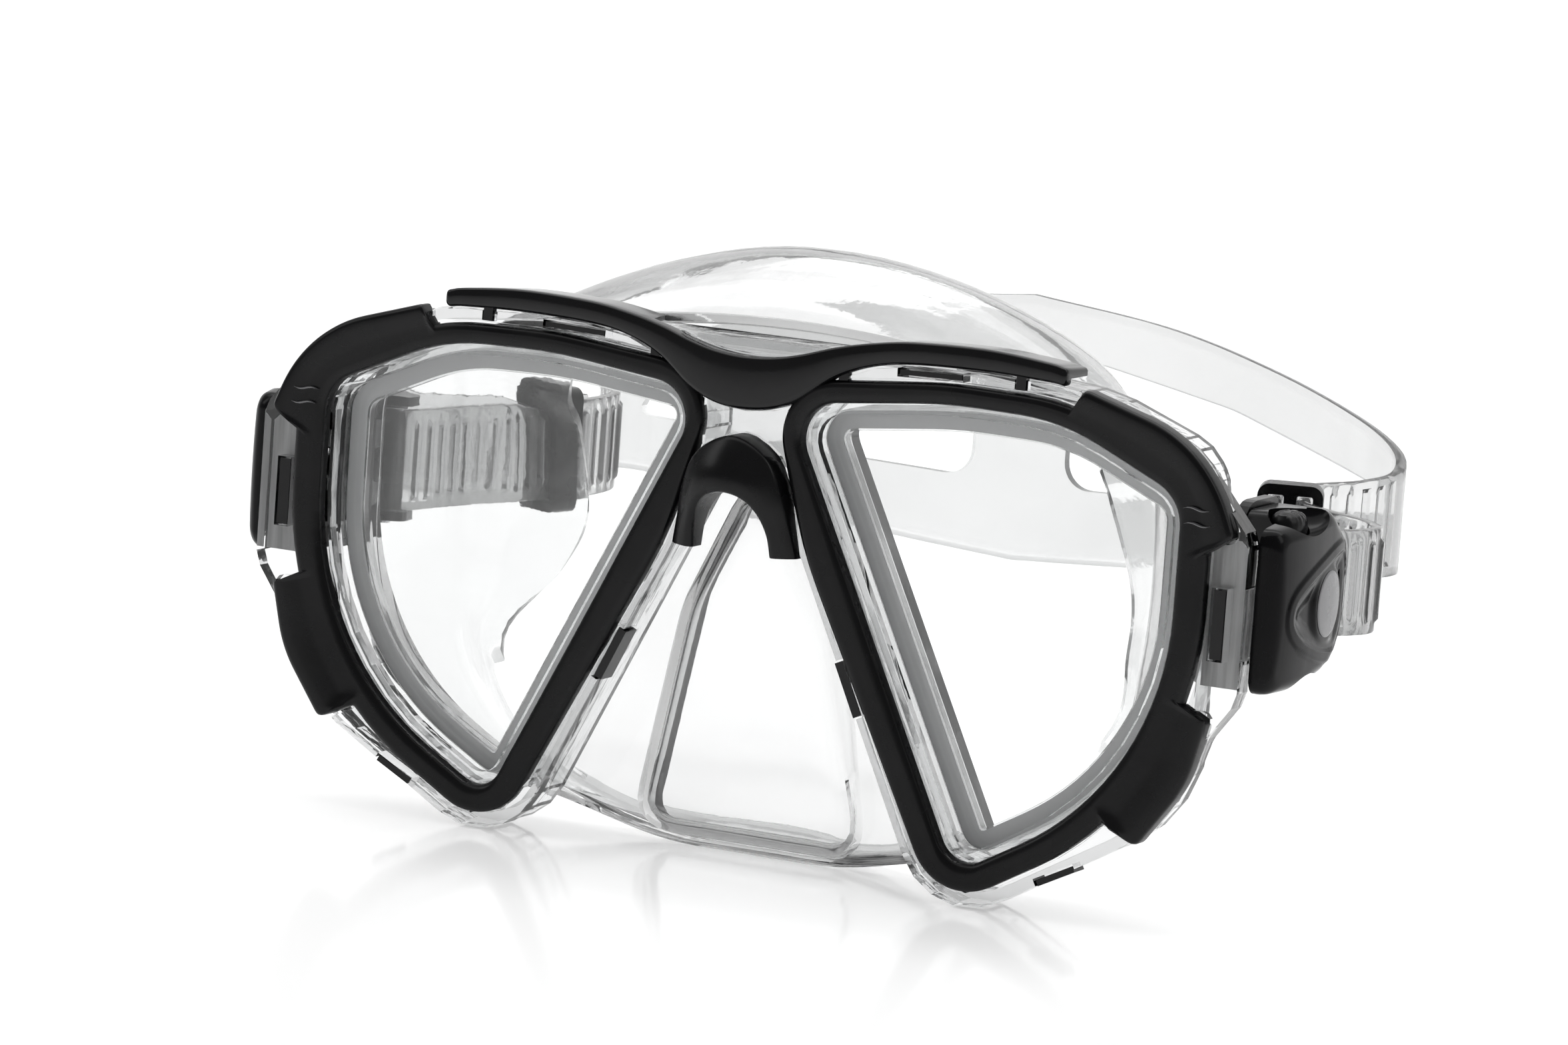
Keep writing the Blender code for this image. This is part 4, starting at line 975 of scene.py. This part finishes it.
def shell_height(y, z, inwards):
    """The shell's face: crowned, with a rounded rim, a raised teardrop line and a rim round the badge."""
    spot = Vector((y, z))
    x = smooth_plan(y) + 0.25 - SHELL_CROWN * (z - SHELL_MIDDLE[1]) ** 2
    away = tear_distance(spot)
    x += 0.3 * (1 - ease(abs(away), 0.7, 1.15))
    hollow = ease(-away, 0.9, 4.2)
    x -= 0.75 * hollow
    from_badge = max(0.0, oval_distance(spot, BADGE_CENTRE, BADGE_HALF) - 0.35)
    x += 0.7 * hollow * math.exp(-(from_badge / 0.9) ** 2)
    if inwards < SHELL_RIM:
        x -= SHELL_RIM_DROP * (1 - math.sqrt(max(0.0, 1 - (1 - inwards / SHELL_RIM) ** 2)))
    return min(x, SHELL_OUTERMOST)


def oval(centre, half, count=64):
    turns = [2 * math.pi * k / count for k in range(count)]
    return [Vector((centre[0] + half[0] * math.cos(a), centre[1] + half[1] * math.sin(a))) for a in turns]


def egg(centre, half):
    """A stretched ball, as a tool for a smooth hollow."""
    bm = bmesh.new()
    bmesh.ops.create_uvsphere(bm, u_segments=64, v_segments=40, radius=1)
    for vert in bm.verts:
        vert.co = place(*[middle + reach * along for middle, reach, along in zip(centre, half, vert.co)])
    return add_mesh("egg", bm, SATIN)


def buckle_shell(side):
    """The bulged outer body, drawn as rings from its edge to its middle."""
    outline = even(rounded([(y, PIVOT.y + z, r) for y, z, r in SHELL_SIDE]), 0.35)
    middle = Vector(SHELL_MIDDLE)
    shares = [0, 0.01, 0.02, 0.035, 0.05, 0.07, 0.095, 0.12, 0.15]
    shares += [0.18 + 0.82 * k / 44 for k in range(45)]
    bm = bmesh.new()
    rings = []
    for base in SHELL_BACK:
        rings.append([bm.verts.new(place(base, p.x, p.y)) for p in outline])
    for share in shares[:-1]:
        ring = []
        for p in outline:
            spot = p.lerp(middle, share)
            x = shell_height(spot.x, spot.y, (p - spot).length)
            ring.append(bm.verts.new(place(x, spot.x, spot.y)))
        rings.append(ring)
    count = len(outline)
    for a, b in zip(rings, rings[1:]):
        for k in range(count):
            bm.faces.new((a[k], a[(k + 1) % count], b[(k + 1) % count], b[k]))
    centre = bm.verts.new(place(shell_height(middle.x, middle.y, 9), middle.x, middle.y))
    for k in range(count):
        bm.faces.new((rings[-1][k], rings[-1][(k + 1) % count], centre))
    bm.faces.new(rings[0])
    shell = add_mesh(f"buckle_shell_{side}", bm, SHELL, 60)
    hub = plate("hub", [rounded([(y, PIVOT.y + z, r) for y, z, r in HUB])], "X", *HUB_X, SHELL, 0.7)
    settle(hub)
    tools = []
    for sign in (1, -1):
        (x, y, z), half = DISH[sign]
        tools.append(egg((x, y, PIVOT.y + z), half))
        base = PIVOT.y + BUTTON_ENDS[sign][0] - 1.5 * sign
        low, high = sorted((base, PIVOT.y + sign * 20))
        well = oval(BUTTON, (BUTTON_HALF[0] + 0.35, BUTTON_HALF[1] + 0.35))
        tools.append(plate("well", [well], "Z", low, high, SHELL))
    mouth = [Vector((20, PIVOT.y - 9.6)), Vector((36, PIVOT.y - 9.6)), Vector((36, PIVOT.y + 9.6)),
             Vector((20, PIVOT.y + 9.6))]
    tools.append(plate("mouth", [mouth], "X", 79, 87.3, SHELL))
    tools.append(plate("slit", [oval(*SLIT)], "X", 88.6, 93, SHELL))
    combine(shell, [hub], "UNION")
    combine(shell, tools, "DIFFERENCE")
    settle(shell, 45)
    drop([hub] + tools)
    return shell


BADGE_DOME = ((1.0, -0.6), (1.0, 0.1), (0.97, 0.17), (0.9, 0.2), (0.7, 0.24), (0.45, 0.28),
              (0.2, 0.3), (0.03, 0.3))


def badge(side):
    """A blank oval inlay, slightly domed, that stands just out of the shell's face."""
    sections = []
    for share, lift in BADGE_DOME:
        ring = []
        for spot in oval(BADGE_CENTRE, (BADGE_HALF[0] * share, BADGE_HALF[1] * share), 96):
            x = smooth_plan(spot.x) + 0.2 - SHELL_CROWN * (spot.y - SHELL_MIDDLE[1]) ** 2
            ring.append((min(90.74, x + lift), spot.x, spot.y))
        sections.append(ring)
    return loft(f"badge_{side}", sections, BADGE, angle=60)


BUTTON_DOME = ((1.0, 0.0), (1.0, 0.5), (0.985, 0.62), (0.95, 0.72), (0.88, 0.82), (0.78, 0.89),
               (0.65, 0.94), (0.5, 0.97), (0.35, 0.99), (0.2, 1.0), (0.06, 1.0))
GRIP_PITCH = 0.95


def button_cap(sign, name):
    """A barrel-shaped thumb button with fine grip lines."""
    def make(side):
        base, crown = [PIVOT.y + end for end in BUTTON_ENDS[sign]]
        sections = []
        for share, lift in BUTTON_DOME:
            ring = []
            for spot in oval(BUTTON, (BUTTON_HALF[0] * share, BUTTON_HALF[1] * share), 128):
                wave = math.cos(2 * math.pi * (spot.y - BUTTON.y) / GRIP_PITCH)
                groove = 0.09 * sign * wave if lift > 0.6 else 0.0
                ring.append((spot.x, spot.y, base + (crown - base) * lift + groove))
            sections.append(ring)
        return loft(f"{name}_cap_{side}", sections, SATIN, angle=60)
    return make


# ---------------------------------------------------------------- stage

# Each light's name, place, aim, size and power
LIGHTS = (("top", (-0.1, 0.2, 1.5), (0, 0, 0.05), (2.2, 1.4), 11),
          ("left", (-1.2, -0.6, 1.0), (0, 0, 0.05), (0.4, 1.0), 2.6),
          ("right", (1.2, 0.0, 1.0), (0, 0, 0.05), (0.4, 0.9), 2.2),
          ("backdrop", (0, 0.9, 2.2), (0, 2.2, 0.4), (3.0, 1.0), 17))
FLOOR_HALF = 12.0
FLOOR_BEND = 1.2
FLOOR_GLOW = 0.36


def area_light(name, spot, aim, size, power):
    data = bpy.data.lights.new(name, "AREA")
    data.shape = "RECTANGLE"
    data.size, data.size_y = size
    data.energy = power
    lamp = bpy.data.objects.new(name, data)
    lamp.location = spot
    lamp.rotation_euler = (Vector(aim) - Vector(spot)).to_track_quat("-Z", "Y").to_euler()
    bpy.context.scene.collection.objects.link(lamp)


def stage():
    bm = bmesh.new()
    bend = [math.radians(3 * k) for k in range(31)]
    profile = [(-FLOOR_HALF, 0.0)]
    profile += [(FLOOR_BEND + FLOOR_BEND * math.sin(a), FLOOR_BEND - FLOOR_BEND * math.cos(a)) for a in bend]
    profile += [(2 * FLOOR_BEND, 4.0)]
    rows = [[bm.verts.new((x, y, z)) for y, z in profile] for x in (-FLOOR_HALF, FLOOR_HALF)]
    for k in range(len(profile) - 1):
        bm.faces.new((rows[0][k], rows[1][k], rows[1][k + 1], rows[0][k + 1]))
    paint = principled("pale_floor", (0.95, 0.95, 0.95), 0.1, Specular_IOR_Level=0.3,
                       Emission_Strength=FLOOR_GLOW)
    paint.node_tree.nodes["Principled BSDF"].inputs["Emission Color"].default_value = (1, 1, 1, 1)
    vary_roughness(paint, 3, 0.08, 0.13)
    floor = add_mesh("floor", bm, paint)
    world = bpy.data.worlds.new("studio")
    world.use_nodes = True
    nodes, links = world.node_tree.nodes, world.node_tree.links
    where = nodes.new("ShaderNodeTexCoord")
    parts = nodes.new("ShaderNodeSeparateXYZ")
    fade = nodes.new("ShaderNodeMapRange")
    fade.interpolation_type = "SMOOTHSTEP"
    fade.inputs["From Min"].default_value = -0.4
    fade.inputs["From Max"].default_value = 0.75
    fade.inputs["To Min"].default_value = 0.2
    fade.inputs["To Max"].default_value = 0.7
    links.new(where.outputs["Generated"], parts.inputs["Vector"])
    links.new(parts.outputs["Y"], fade.inputs["Value"])
    links.new(fade.outputs["Result"], nodes["Background"].inputs["Strength"])
    nodes["Background"].inputs["Color"].default_value = (1, 1, 1, 1)
    bpy.context.scene.world = world
    for light in LIGHTS:
        area_light(*light)
    bpy.context.scene.view_settings.view_transform = "Standard"


CAMERA_TURN = math.radians(25.8)
CAMERA_RISE = math.radians(8.0)
CAMERA_ROLL = math.radians(4.2)
CAMERA_DISTANCE = 1125
CAMERA_TARGET = (7.3, 0, 54.8)
CAMERA_LENS = 168.3


def camera():
    az, el, roll = CAMERA_TURN, CAMERA_RISE, CAMERA_ROLL
    back = Vector((math.sin(az) * math.cos(el), -math.cos(az) * math.cos(el), math.sin(el)))
    right = Vector((math.cos(az), math.sin(az), 0))
    up = back.cross(right)
    turned = right * math.cos(roll) + up * math.sin(roll)
    upright = up * math.cos(roll) - right * math.sin(roll)
    data = bpy.data.cameras.new("photo_view")
    data.lens = CAMERA_LENS
    data.sensor_width = 36
    made = bpy.data.objects.new("photo_view", data)
    spot = place(*CAMERA_TARGET) + back * CAMERA_DISTANCE * MM
    made.matrix_world = Matrix((turned, upright, back)).transposed().to_4x4()
    made.location = spot
    bpy.context.scene.collection.objects.link(made)
    bpy.context.scene.camera = made


# ---------------------------------------------------------------- the whole mask

PAINTS = {"frame": CLEAR, "lens": GLASS, "pivot_pin": SATIN, "buckle_base": SATIN, "button_spring": STEEL,
          "strap_roller": SATIN, "roller_axle": STEEL, "strap_pawl": SATIN, "pawl_pin": STEEL,
          "top_snap_tab": GLOSS, "side_snap_tab": GLOSS, "nasal_snap_tab": GLOSS, "bottom_snap_tab": GLOSS}


def paint_nodes():
    for name, node in NODES.items():
        stem = name.removesuffix("_left").removesuffix("_right")
        if stem in PAINTS:
            node.data.materials.clear()
            node.data.materials.append(PAINTS[stem])
            node.data.shade_smooth()
            node.data.set_sharp_from_angle(angle=math.radians(30))


camera()
paint_nodes()
dress(bezel, "mask", "black_satin", "lens_ring_{}")
dress(pad_waves, "mask", "black_gloss")
dress(seal_band, "mask", "clear_silicone")
dress(wing_backing, "mask", "clear_polycarbonate")
brow_bar()
bridge_clip()
skirt()
strap()
dress(keeper, "strap_keeper_{}_body", "black_satin", "strap_keeper_{}")
dress(buckle_shell, "strap_assembly", "black_satin", "buckle_cover_{}")
dress(badge, "strap_assembly", "badge_grey", "badge_plate_{}")
dress(button_cap(1, "button_top"), "button_top_{}_body", "black_gloss", "button_top_{}")
dress(button_cap(-1, "button_bottom"), "button_bottom_{}_body", "black_gloss", "button_bottom_{}")
stage()
